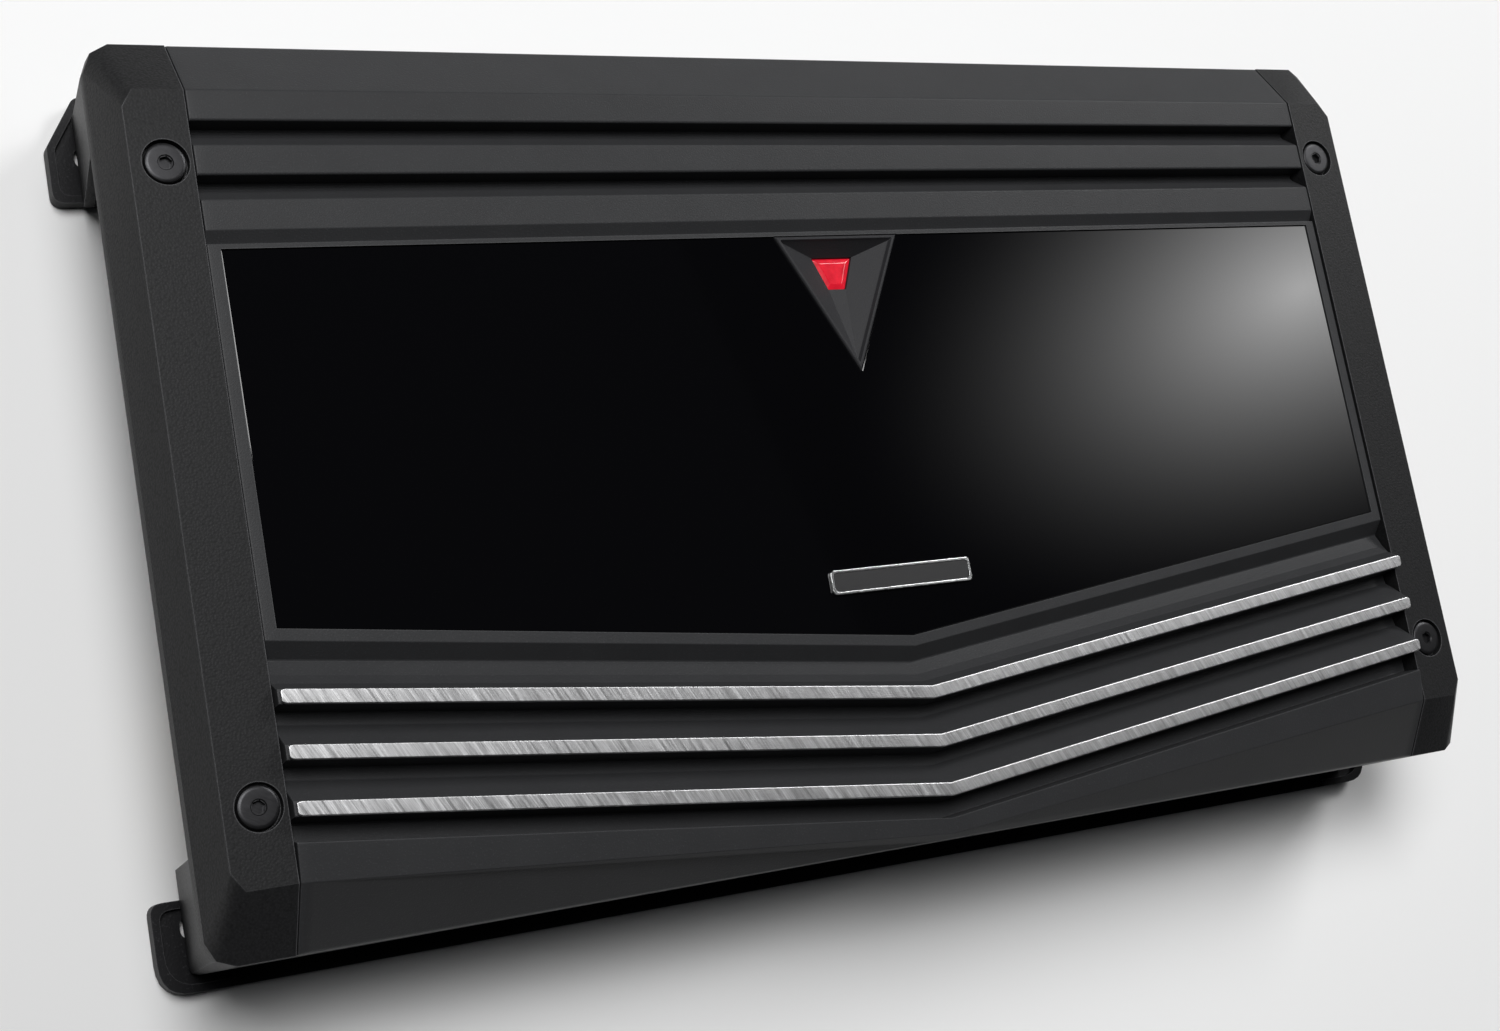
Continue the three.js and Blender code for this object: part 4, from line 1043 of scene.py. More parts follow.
@dataclass
class HeatSink:
    """The cast top: cooling ribs, window pocket, ridges, front lip and walls."""

    case: Case
    wall: float = 3.5 * MM
    rib_pitch: float = 13.8 * MM
    groove: float = 6.2 * MM
    rib_depth: float = 6.0 * MM
    rear_rib: float = 7.8 * MM
    groove_depth: float = 5.0 * MM
    frame_drop: float = 0.6 * MM
    lip_rise: float = 1.4 * MM
    edge: float = 0.7 * MM
    tight: float = 0.4 * MM
    end_run: float = 0.5 * MM
    end_drop: float = 0.5 * MM

    def section(self, pocket: float) -> list[Point2]:
        """The outer section from the back wall's foot to the front wall's foot.

        Args:
            pocket: depth of the window's pocket below the top, or 0 for none.

        Returns:
            Points (y, z), the same number whatever the pocket.
        """
        c, mm = self.case, MM
        top, floor = c.top, c.top - self.groove_depth
        points: list[tuple[float, ...]] = [
            (c.wall, c.bottom),
            (c.wall, top - c.chamfer_drop, 1.6 * mm),
            (c.top_half, top, 1.4 * mm),
        ]
        first = c.top_half - self.rear_rib
        for i in range(2):
            e = first - i * self.rib_pitch
            points += [
                (e, top, self.edge),
                (e - 0.3 * mm, top - self.rib_depth + 0.6 * mm, self.tight),
                (e - 1.0 * mm, top - self.rib_depth, self.tight),
                (e - 2.2 * mm, top - self.rib_depth + 0.8 * mm, self.tight),
                (e - self.groove, top, self.edge),
            ]
        frame_back = c.window_back + 1.5 * mm
        frame_top = top - self.frame_drop
        frame_front = c.window_front - 2.9 * mm
        points += [
            (frame_back + 3 * mm, top, self.edge),
            (frame_back, frame_top - 1.4 * mm, 0.2 * mm),
            (frame_back - 0.4 * mm, frame_top, 0.2 * mm),
            (c.window_back, frame_top),
            (c.window_back, frame_top if not pocket else top - pocket),
            (c.window_front, frame_top if not pocket else top - pocket),
            (c.window_front, frame_top),
            (frame_front, frame_top, 0.5 * mm),
            (frame_front - 3.7 * mm, floor + 0.8 * mm, self.tight),
            (frame_front - 4.1 * mm, floor + 0.6 * mm, self.tight),
            (c.ridge_back + 4.1 * mm, top - 2.4 * mm, 0.8 * mm),
            (c.ridge_back + 1.8 * mm, top - 0.6 * mm, 0.8 * mm),
        ]
        for i in range(3):
            back = c.ridge_back - i * c.ridge_pitch
            front = back - c.strip_width
            points += [
                (back, c.ridge_top, 0.25 * mm),
                (front, c.ridge_top, 0.25 * mm),
                (front - 0.8 * mm, floor + 0.4 * mm, 0.3 * mm),
                (front - 1.3 * mm, floor, 0.3 * mm),
            ]
            if i < 2:
                points += [
                    (front - 3.9 * mm, floor + 0.4 * mm, 0.8 * mm),
                    (front - 5.2 * mm, top - 2.6 * mm, 1.2 * mm),
                    (front - 7.0 * mm, top - 0.2 * mm, 1.2 * mm),
                ]
        points += [
            (c.lip_back + 0.5 * mm, floor, 0.3 * mm),
            (c.lip_back, top + self.lip_rise, 0.5 * mm),
            (-c.top_half, top, 1.2 * mm),
            (-c.wall, top - c.chamfer_drop, 1.6 * mm),
            (-c.wall, c.bottom),
        ]
        return rounded(points)

    def ring(self, x: float, pocket: float, drop: float) -> list[Vector]:
        """The closed section at x, with its skin lowered: the outer skin, and the room under it."""
        c = self.case
        skin = [c.drawn(x, y, max(z - drop, c.bottom)) for y, z in self.section(pocket)]
        inner, ceiling = c.wall - self.wall, c.top - 9 * MM
        room = [(-inner, c.bottom), (-inner, ceiling), (inner, ceiling), (inner, c.bottom)]
        return skin + [Vector((x, y, z)) for y, z in room]

    def build(self) -> None:
        """Builds the casting."""
        c = self.case
        pocket = c.top - Box.of("window_panel").low.z
        half, window = c.half_length, c.window_half
        left = [
            (-half, 0.0, self.end_drop),
            (-half + self.end_run * 0.3, 0.0, self.end_drop * 0.35),
            (-half + self.end_run, 0.0, 0.0),
            (-window, 0.0, 0.0),
            (-window, pocket, 0.0),
        ]
        right = [(-x, p, d) for x, p, d in reversed(left)]
        stations = left + [(0.0, pocket, 0.0)] + right
        shape = Shape.loft([self.ring(*station) for station in stations])
        bezel = Box.of("indicator_bezel")
        notch = [
            (bezel.low.x - 0.1 * MM, bezel.high.y + 0.1 * MM),
            (0.0, bezel.low.y - 0.2 * MM),
            (bezel.high.x + 0.1 * MM, bezel.high.y + 0.1 * MM),
        ]
        shape = shape.cut(Shape.prism(notch, Axis.Z, bezel.low.z - 0.1 * MM, c.top))
        shape.piece("cast_heat_sink", POWDER, stands_for=["heat_sink"], smooth=35)


@dataclass
class TrimStrips:
    """Three brushed chevron strips on the ridges."""

    case: Case
    edge: float = 0.3 * MM
    end_radius: float = 1.1 * MM

    def build_one(self, name: str) -> None:
        """Builds one strip in its CAD node's place."""
        box = Box.of(name)
        back, front = box.high.y, box.high.y - self.case.strip_width
        low, high = box.low.z, box.high.z
        corners = [
            (back, low),
            (back, high, self.edge),
            (front, high, self.edge),
            (front, low),
        ]
        section = rounded(corners)
        reach = box.high.x
        stations = [-reach, -reach + self.end_radius * 0.3, -reach + self.end_radius, 0.0]
        pinch = [0.34, 0.12, 0.0, 0.0]
        stations += [-x for x in stations[-2::-1]]
        pinch += pinch[-2::-1]
        middle = (back + front) / 2
        rings = []
        for x, squeeze in zip(stations, pinch):
            ring = [(middle + (y - middle) * (1 - squeeze), z) for y, z in section]
            rings.append([self.case.drawn(x, y, z) for y, z in ring])
        Shape.loft(rings).piece(name.replace("trim", "brushed"), BRIGHT, stands_for=[name])

    def build(self) -> None:
        """Builds the three strips."""
        for place in ("rear", "middle", "front"):
            self.build_one(f"trim_strip_{place}")


@dataclass
class Window:
    """The black panel, the indicator in its notch, and the blank badge."""

    case: Case
    edge: float = 0.35 * MM
    rim: float = 1.0 * MM
    fit: float = 0.1 * MM
    lens_taper: float = 3.6 * MM

    def notch(self, inset: float) -> list[Point2]:
        """The bezel's outline, smaller by an inset on every side."""
        box = Box.of("indicator_bezel")
        half, length = box.high.x, box.size.y
        lean = math.atan2(half, length)
        side = inset / math.cos(lean)
        tip = box.low.y + inset / math.sin(lean)
        back = box.high.y - inset
        wide = half * (back - box.low.y) / length - side
        return [(-wide, back), (0.0, tip), (wide, back)]

    def build_panel(self) -> None:
        """The acrylic panel with polished bevelled edges."""
        box = Box.of("window_panel")
        slab = Shape.prism(self.case.window_outline(), Axis.Z, box.low.z, box.high.z)
        hole = Shape.prism(self.notch(-self.fit), Axis.Z, box.low.z - MM, box.high.z + MM)
        shape = slab.cut(hole).softened(self.edge, 2)
        shape.piece("acrylic_window", GLOSS, stands_for=["window_panel"], smooth=20)

    def build_bezel(self) -> None:
        """The funnel: a raised rim and three walls that slope down to the lens."""
        box, lens = Box.of("indicator_bezel"), Box.of("indicator_lens")
        rings = [
            (self.notch(0.0), box.low.z),
            (self.notch(0.0), box.high.z - 0.4 * MM),
            (self.notch(0.4 * MM), box.high.z),
            (self.notch(self.rim), box.high.z),
            (self.notch(self.rim + 0.5 * MM), box.high.z - self.rim),
        ]
        lens_top = lens.high.z + 0.6 * MM
        work = bmesh.new()
        made = [[work.verts.new((x, y, z)) for x, y in ring] for ring, z in rings]
        for near, far in zip(made, made[1:]):
            for i in range(3):
                work.faces.new((near[i], near[(i + 1) % 3], far[(i + 1) % 3], far[i]))
        taper = self.lens_taper
        foot = [
            (lens.low.x, lens.high.y),
            (lens.low.x + taper, lens.low.y),
            (lens.high.x - taper, lens.low.y),
            (lens.high.x, lens.high.y),
        ]
        well = [work.verts.new((x, y, lens_top)) for x, y in foot]
        deep = [work.verts.new((x, y, box.low.z)) for x, y in foot]
        back_left, tip, back_right = made[-1]
        work.faces.new((back_left, tip, well[1], well[0]))
        work.faces.new((tip, back_right, well[3], well[2]))
        work.faces.new((tip, well[2], well[1]))
        work.faces.new((back_right, back_left, well[0], well[3]))
        for i in range(4):
            work.faces.new((well[i], well[(i + 1) % 4], deep[(i + 1) % 4], deep[i]))
        low_left, low_tip, low_right = made[0]
        work.faces.new((low_left, low_tip, deep[1], deep[0]))
        work.faces.new((low_tip, low_right, deep[3], deep[2]))
        work.faces.new((low_tip, deep[2], deep[1]))
        work.faces.new((low_right, low_left, deep[0], deep[3]))
        shape = Shape.of(work).softened(0.15 * MM, 2, 20)
        shape.piece("indicator_funnel", BEZEL, stands_for=["indicator_bezel"])

    def build_lens(self) -> None:
        """The faceted red lens."""
        box = Box.of("indicator_lens")
        gap, taper = 0.05 * MM, self.lens_taper
        middle = (box.low.y + box.high.y) / 2

        def outline(scale: float) -> list[Point2]:
            """The lens outline shrunk about its middle."""
            corners = [
                (box.low.x + gap, box.high.y - gap),
                (box.low.x + taper, box.low.y + gap),
                (box.high.x - taper, box.low.y + gap),
                (box.high.x - gap, box.high.y - gap),
            ]
            return [(x * scale, middle + (y - middle) * scale) for x, y in corners]

        crown = box.high.z + 0.5 * MM
        rings = [(1.0, box.low.z), (1.0, box.high.z), (0.66, crown)]
        shape = Shape.loft([[Vector((x, y, z)) for x, y in outline(s)] for s, z in rings])
        shape = shape.softened(0.2 * MM, 2, 15)
        shape.piece("indicator_red_lens", RED, stands_for=["indicator_lens"])

    def build_badge(self) -> None:
        """A blank badge: a bright rim round a dark inlay."""
        box = Box.of("name_plate")
        low, high, radius, rim = box.low, box.high, 1.2 * MM, 0.7 * MM

        def outline(inset: float) -> list[Point2]:
            """The badge's rounded outline, smaller by an inset."""
            corners = [
                (low.x + inset, low.y + inset, radius),
                (high.x - inset, low.y + inset, radius),
                (high.x - inset, high.y - inset, radius),
                (low.x + inset, high.y - inset, radius),
            ]
            return rounded(corners, 5)

        sunk = high.z - 0.3 * MM
        surround = Shape.prism(outline(0.0), Axis.Z, low.z, high.z)
        surround = surround.cut(Shape.prism(outline(rim), Axis.Z, sunk, high.z + MM))
        surround.softened(0.12 * MM, 2).piece("badge_rim", PLATE, stands_for=["name_plate"])
        inlay = Shape.prism(outline(rim + 0.05 * MM), Axis.Z, sunk, high.z - 0.1 * MM)
        inlay.softened(0.08 * MM, 1).piece("badge_inlay", BLACK)

    def build(self) -> None:
        """Builds the window and what is on it."""
        self.build_panel()
        self.build_bezel()
        self.build_lens()
        self.build_badge()


@dataclass
class EndCap:
    """A moulded cap over one wiring end, built facing right and turned round for the left."""

    case: Case
    side: str
    top_length: float = 15.3 * MM
    chamfer_drop: float = 13.0 * MM
    brow: float = 4.0 * MM
    lean: float = 6.0 * MM
    wall: float = 3.2 * MM
    post: float = 25.8 * MM
    edge: float = 0.8 * MM
    counterbore: float = 5.7 * MM
    upright_cut: Point2 = (6.0 * MM, 6.3 * MM)
    top_cut: Point2 = (2.9 * MM, 4.5 * MM)
    bottom_cut: Point2 = (2.0 * MM, 2.0 * MM)
    bend: float = 0.3
    bulkhead_wall: float = 2.0 * MM
    bulkhead_foot: float = 49.3 * MM

    def corner(self, x: float, y: float, cut: Point2, heights: Sequence[float]) -> list[Vector]:
        """Points of an upright corner that is sharp at (x, y), from its back to its side."""
        (run, rise), bend = cut, self.bend
        shares = ((1.0, 0.0), (bend, bend), (0.0, 1.0))
        return [Vector((x - run * u, y - rise * v, z)) for (u, v), z in zip(shares, heights)]

    def block(self, box: Box, inset: float) -> Shape:
        """The cap's solid form, smaller by an inset."""
        c = self.case
        shift = inset * 0.6
        start, side = box.low.x - inset, box.high.x - inset
        wall, floor, top = c.wall - inset, box.low.z - inset, box.high.z - inset
        top_x = box.low.x + self.top_length - shift
        top_y = c.top_half - shift
        back_edge = c.top - c.chamfer_drop - shift
        side_edge = box.high.z - self.chamfer_drop - shift
        brow_bottom = box.high.z - self.chamfer_drop - self.brow
        run, rise = self.top_cut
        half = [
            Vector((start, wall, floor)),
            Vector((start, wall, back_edge)),
            Vector((start, top_y, top)),
            Vector((top_x - run, top_y, top)),
            Vector((top_x, top_y - rise, top)),
            *self.corner(side - self.lean, wall, self.bottom_cut, (floor,) * 3),
            *self.corner(side, wall, self.upright_cut, (brow_bottom,) * 3),
            *self.corner(
                side, wall, self.upright_cut, (back_edge, (back_edge + side_edge) / 2, side_edge)
            ),
        ]
        return Shape.hull(half + [Vector((p.x, -p.y, p.z)) for p in half])

    def bulkhead(self, box: Box) -> Shape:
        """The inner wall against the heat sink's end."""
        low, high = box.low.x, box.low.x + self.bulkhead_wall
        wall, foot = self.case.wall, self.bulkhead_foot
        slab = Shape.block((low, -wall, foot), (high, wall, self.case.top))
        return slab.common(self.block(box, self.bulkhead_wall / 2))

    def build(self) -> None:
        """Builds the cap in its place."""
        c, box = self.case, Box.of("end_cap_right")
        shape = self.block(box, 0.0).cut(self.block(box, self.wall))
        half = c.wall - self.post
        brow_bottom = box.high.z - self.chamfer_drop - self.brow
        mouth = Shape.block(
            (box.low.x + 5 * MM, -half, box.low.z - MM),
            (box.high.x + MM, half, brow_bottom),
        )
        screw = Box.of("cap_screw_front_right")
        shape = shape.cut(mouth).joined(self.bulkhead(box))
        for y in (screw.middle.y, -screw.middle.y):
            seat = screw.high.z - 2.2 * MM
            centre = (screw.middle.x, y, 0.0)
            profile = [(0, seat), (self.counterbore, seat), (self.counterbore, c.top + MM)]
            bore = Shape.turned(profile + [(0, c.top + MM)], Axis.Z, centre)
            hole = [(0, seat - 6 * MM), (2.8 * MM, seat - 6 * MM), (2.8 * MM, seat + MM)]
            shape = shape.cut(bore, Shape.turned(hole + [(0, seat + MM)], Axis.Z, centre, 32))
        shape = shape.softened(self.edge, 3)
        if self.side == "left":
            shape = shape.placed(Matrix.Rotation(math.pi, 4, "Z"))
        node = f"end_cap_{self.side}"
        shape.piece(f"moulded_cap_{self.side}", GRAIN, stands_for=[node], smooth=32)


@dataclass
class CapScrews:
    """Flat round hex socket screws in the caps."""

    socket: float = 3.0 * MM
    socket_depth: float = 1.5 * MM
    shank: float = 2.4 * MM
    head_height: float = 2.2 * MM
    crown: float = 0.5 * MM
    lead: float = 0.35 * MM
    lead_depth: float = 0.25 * MM

    def build(self) -> None:
        """Builds the four screws in their nodes' places."""
        for place in CORNERS:
            node = f"cap_screw_{place}"
            box = Box.of(node)
            head = box.size.x / 2
            high, low, seat = box.high.z, box.low.z, box.high.z - self.head_height
            profile = [
                (0, low),
                (self.shank - 0.4 * MM, low),
                (self.shank, low + 0.4 * MM),
                (self.shank, seat),
                (head - 0.15 * MM, seat),
                (head, seat + 0.2 * MM),
                (head, high - self.crown),
                (head - 0.15 * MM, high - self.crown * 0.5),
                (head - 0.5 * MM, high - self.crown * 0.12),
                (head - 1.0 * MM, high),
                (0, high),
            ]
            centre = (box.middle.x, box.middle.y, 0.0)
            shape = Shape.turned(profile, Axis.Z, centre, 64)
            wide = self.socket / math.sqrt(3)
            turns = [math.radians(60 * k + 15) for k in range(6)]
            hexagon = [
                (centre[0] + wide * math.cos(t), centre[1] + wide * math.sin(t)) for t in turns
            ]
            socket = Shape.prism(hexagon, Axis.Z, high - self.socket_depth, high + MM)
            floor, top = high - self.lead_depth, high + 0.1 * MM
            mouth = [(0, floor), (wide, floor), (wide + self.lead, top), (0, top)]
            lead = Shape.turned(mouth, Axis.Z, centre, 32)
            shape = shape.cut(socket, lead)
            shape.piece(f"socket_screw_{place}", BLACK_SCREW, stands_for=[node], smooth=30)


@dataclass
class BasePlate:
    """The painted steel base with its four slotted feet."""

    case: Case
    thickness: float = 3.0 * MM
    foot_thickness: float = 4.0 * MM
    rim: float = 2.0 * MM
    recess: float = 1.8 * MM
    front_depth: float = 22.6 * MM
    rear_depth: float = 28.6 * MM
    rear_cut: Point2 = (8.3 * MM, 13.6 * MM)
    front_radius: float = 8.0 * MM
    small_radius: float = 3.0 * MM
    slot_width: float = 5.5 * MM
    slot_length: float = 9.0 * MM
    slot_inset: float = 11.5 * MM
    slot_from_edge: float = 15.8 * MM
    foot_hold: float = 4.0 * MM
    past_panel: float = 1.4 * MM
    screw_sink: Point2 = (3.8 * MM, 1.8 * MM)
    screw_hole: float = 2.15 * MM

    def foot_outline(self, outer: float, edge: float, rear: bool, inset: float) -> list[Point2]:
        """A right-hand foot's outline, smaller by an inset."""
        reach, far = outer - inset, edge - inset
        inner = self.case.half_length - self.foot_hold + inset
        small = self.small_radius
        if rear:
            near = edge - self.rear_depth + inset
            run, rise = self.rear_cut
            slant = math.hypot(run, rise)
            cut_x = outer - run - inset * (slant - run) / rise
            cut_y = edge - rise - inset * (slant - rise) / run
            corners = [
                (inner, near),
                (reach, near, small),
                (reach, cut_y, small),
                (cut_x, far, small),
                (inner, far),
            ]
        else:
            near = -(edge - self.front_depth + inset)
            corners = [
                (inner, -far),
                (reach, -far, self.front_radius),
                (reach, near, small),
                (inner, near),
            ]
        return rounded(corners, 6)

    def build(self) -> None:
        """Builds the plate, the feet and their slots."""
        box = Box.of("base_plate")
        outer, edge = box.high.x, box.high.y
        half = Box.of("power_panel").high.x + self.past_panel
        plate = Shape.block((-half, -edge, 0.0), (half, edge, self.thickness))
        slot_x, slot_y = outer - self.slot_inset, edge - self.slot_from_edge
        long, wide = self.slot_length / 2, self.slot_width / 2
        for rear in (False, True):
            foot = Shape.prism(
                self.foot_outline(outer, edge, rear, 0.0), Axis.Z, 0.0, self.foot_thickness
            )
            step = half - 1.1 * MM
            inside = Shape.block((0, -edge - MM, self.thickness), (step, edge + MM, 10 * MM))
            dish = Shape.prism(
                self.foot_outline(outer, edge, rear, self.rim),
                Axis.Z,
                self.foot_thickness - self.recess,
                10 * MM,
            )
            y = slot_y if rear else -slot_y
            corners = [
                (slot_x - long, y - wide, wide),
                (slot_x + long, y - wide, wide),
                (slot_x + long, y + wide, wide),
                (slot_x - long, y + wide, wide),
            ]
            slot = Shape.prism(rounded(corners, 6), Axis.Z, -MM, 10 * MM)
            foot = foot.cut(inside, dish, slot)
            plate = plate.joined(foot, foot.mirrored(0))
        for screw in CORNERS:
            place = Box.of(f"base_screw_{screw}")
            centre = (place.middle.x, place.middle.y, 0.0)
            wide, deep = self.screw_sink
            narrow, above = self.screw_hole, self.thickness + MM
            sunk = [(0, -MM), (wide, -MM), (wide, deep), (narrow, deep)]
            hole = sunk + [(narrow, above), (0, above)]
            plate = plate.cut(Shape.turned(hole, Axis.Z, centre, 40))
        shape = plate.softened(0.35 * MM, 2)
        shape.piece("footed_base", STEEL, stands_for=["base_plate"], smooth=32)


# ---------------------------------------------------------------- base screws and panels


@dataclass
class BaseScrews:
    """Cross-recess screws that hold the base plate, put in from below."""

    head_height: float = 1.6 * MM
    shank: float = 1.75 * MM
    arm: float = 2.0 * MM
    arm_width: float = 0.5 * MM
    pitch: float = 0.8 * MM

    def build(self) -> None:
        """Builds the four screws."""
        for place in CORNERS:
            node = f"base_screw_{place}"
            box = Box.of(node)
            centre = (box.middle.x, box.middle.y, 0.0)
            low, high, head = box.low.z, box.high.z, box.size.x / 2
            seat = low + self.head_height
            profile = [
                (0, low),
                (head - 0.9 * MM, low),
                (head - 0.25 * MM, low + 0.35 * MM),
                (head, low + MM),
                (head, seat),
                (self.shank - 0.2 * MM, seat),
                (self.shank - 0.2 * MM, high - 0.8 * MM),
                (self.shank - 0.9 * MM, high),
                (0, high),
            ]
            shape = Shape.turned(profile, Axis.Z, centre, 40)
            x, y = centre[:2]
            for long, wide in ((self.arm, self.arm_width), (self.arm_width, self.arm)):
                low_corner = (x - long, y - wide, low - MM)
                shape = shape.cut(Shape.block(low_corner, (x + long, y + wide, low + 0.9 * MM)))
            inner = self.shank - 0.3 * MM
            rib = [(inner, -0.3 * MM), (self.shank, 0.0), (inner, 0.3 * MM)]
            thread = Shape.turned(rib, Axis.Z, (0, 0, 0), 24)
            count = int((high - seat - 2 * MM) / self.pitch)
            threads = Repeat(count, step=(0, 0, self.pitch))
            lowest = (x, y, seat + MM)
            whole = shape.beside(threads.about(lowest, thread, ZINC))
            whole.piece(f"cross_screw_{place}", ZINC, stands_for=[node])


@dataclass
class EndPanel:
    """A flat steel panel at one end, cut out for whatever passes through it."""

    node: str
    through: tuple[str, ...]
    round_holes: tuple[str, ...] = ()
    slide: float = 0.0
    gap: float = 0.3 * MM
    knob_radius: float = 3.7 * MM
    tick_count: int = 11
    tick_reach: float = 5.3 * MM

    def build(self) -> None:
        """Builds the panel and the marks printed on it."""
        box = Box.of(self.node)
        shape = Shape.block(box.low, box.high)
        near, far = box.low.x - MM, box.high.x + MM
        for node in self.through:
            part = Box.of(node)
            low = (near, part.low.y - self.gap, part.low.z - self.gap)
            travel = self.slide if node.endswith("lever") else 0.0
            high = (far, part.high.y + self.gap + travel, part.high.z + self.gap)
            shape = shape.cut(Shape.block(low, high))
        for node in self.round_holes:
            middle = Box.of(node).middle
            centre = (0, middle.y, middle.z)
            shape = shape.cut(Shape.bar(Axis.X, self.knob_radius, centre, near, far))
        finished = shape.softened(0.2 * MM, 2)
        finished.piece(self.node.replace("panel", "end_plate"), STEEL, stands_for=[self.node])
        if self.round_holes:
            self.build_ticks(box)

    def build_ticks(self, box: Box) -> None:
        """Dial marks round each shaft hole."""
        face = box.low.x
        sweep = math.radians(300)
        tick = Shape.block((-0.05 * MM, -0.15 * MM, 0.0), (0.02 * MM, 0.15 * MM, 1.4 * MM))
        tick = tick.placed(Matrix.Translation((0, 0, self.tick_reach - 0.7 * MM)))
        start = Matrix.Rotation(-sweep / 2, 4, "X")
        marks = Repeat(self.tick_count, turn=(sweep / (self.tick_count - 1), 0, 0))
        for node in self.round_holes:
            middle = Box.of(node).middle
            ring = marks.about((0, 0, 0), tick, WHITE).placed(start)
            dial = ring.placed(Matrix.Translation((face, middle.y, middle.z)))
            dial.piece(node.replace("knob", "dial_marks"), WHITE)


# ---------------------------------------------------------------- power end


POWER_SCREWS = tuple(f"{name}_terminal_screw" for name in ("ground", "remote", "battery"))
SPEAKER_SCREWS = ("speaker_negative_screw", "speaker_positive_screw")


@dataclass
class TerminalBlocks:
    """Moulded blocks with open bays and gold contact plates."""

    pitch: float = 17.0 * MM
    partition: float = 2.0 * MM
    sill: float = 3.0 * MM
    floor: float = 178.0 * MM
    drill: float = 2.3 * MM
    plate: float = 0.25 * MM

    def build_block(self, node: str, screws: Sequence[str]) -> None:
        """One block with a bay for each screw."""
        box = Box.of(node)
        shape = Shape.block(box.low, box.high)
        half = (self.pitch - self.partition) / 2
        plates = []
        for screw in screws:
            middle = Box.of(screw).middle
            low = (self.floor, middle.y - half, box.low.z + self.sill)
            room = Shape.block(low, (box.high.x + MM, middle.y + half, box.high.z + MM))
            centre = (0, middle.y, middle.z)
            hole = Shape.bar(Axis.X, self.drill, centre, box.low.x + 3 * MM, box.high.x)
            shape = shape.cut(room, hole)
            plate_low = (self.floor, middle.y - half + MM, low[2] + 0.6 * MM)
            plate_high = (self.floor + self.plate, middle.y + half - MM, box.high.z - MM)
            plate = Shape.block(plate_low, plate_high)
            through = Shape.bar(Axis.X, self.drill, centre, low[0] - MM, low[0] + MM)
            plates.append(plate.cut(through))
        shape = shape.softened(0.45 * MM, 2)
        shape.piece(f"moulded_{node}", BLACK, stands_for=[node])
        plates[0].beside(*plates[1:]).piece(f"{node}_plates", GOLD)

    def build(self) -> None:
        """Builds the power block and the speaker block."""
        self.build_block("power_terminal_block", POWER_SCREWS)
        self.build_block("speaker_terminal_block", SPEAKER_SCREWS)


@dataclass
class TerminalScrews:
    """Gold clamp screws, each on its own sliding body."""

    head_height: float = 2.6 * MM
    shank: float = 2.2 * MM
    recess: float = 1.3 * MM
    arm: float = 3.0 * MM
    arm_width: float = 0.6 * MM
    pitch: float = 1.0 * MM
    flutes: int = 36

    def build_one(self, node: str) -> None:
        """One screw with a knurled head and a threaded shank."""
        box = Box.of(node)
        top, tip, radius = box.high.x, box.low.x, box.size.y / 2 - 0.2 * MM
        seat = top - self.head_height
        y, z = box.middle.y, box.middle.z
        profile = [
            (0, tip),
            (self.shank - 0.9 * MM, tip),
            (self.shank - 0.25 * MM, tip + 0.8 * MM),
            (self.shank - 0.25 * MM, seat),
            (radius, seat),
            (radius, top - 0.5 * MM),
            (radius - 0.5 * MM, top),
            (0, top),
        ]
        shape = Shape.turned(profile, Axis.X, (0, y, z), 48)
        for wide, high in ((self.arm, self.arm_width), (self.arm_width, self.arm)):
            low = (top - self.recess, y - wide, z - high)
            shape = shape.cut(Shape.block(low, (top + MM, y + wide, z + high)))
        rib = [(1.8 * MM, -0.35 * MM), (self.shank, 0.0), (1.8 * MM, 0.35 * MM)]
        thread = Shape.turned(rib, Axis.X, (0, 0, 0), 24)
        count = int((seat - tip - 2 * MM) / self.pitch)
        threads = Repeat(count, step=(self.pitch, 0, 0)).about((tip + MM, y, z), thread, GOLD)
        ridge_low = (seat + 0.3 * MM, -0.2 * MM, radius - 0.1 * MM)
        ridge_high = (top - 0.6 * MM, 0.2 * MM, radius + 0.19 * MM)
        ridge = Shape.block(ridge_low, ridge_high)
        knurl = Repeat(self.flutes, turn=(2 * math.pi / self.flutes, 0, 0))
        flutes = knurl.about((0, y, z), ridge, GOLD)
        whole = shape.beside(threads, flutes)
        whole.piece(f"gold_{node}", GOLD, body=node, stands_for=[node])

    def build(self) -> None:
        """Builds the five screws."""
        for node in POWER_SCREWS + SPEAKER_SCREWS:
            self.build_one(node)


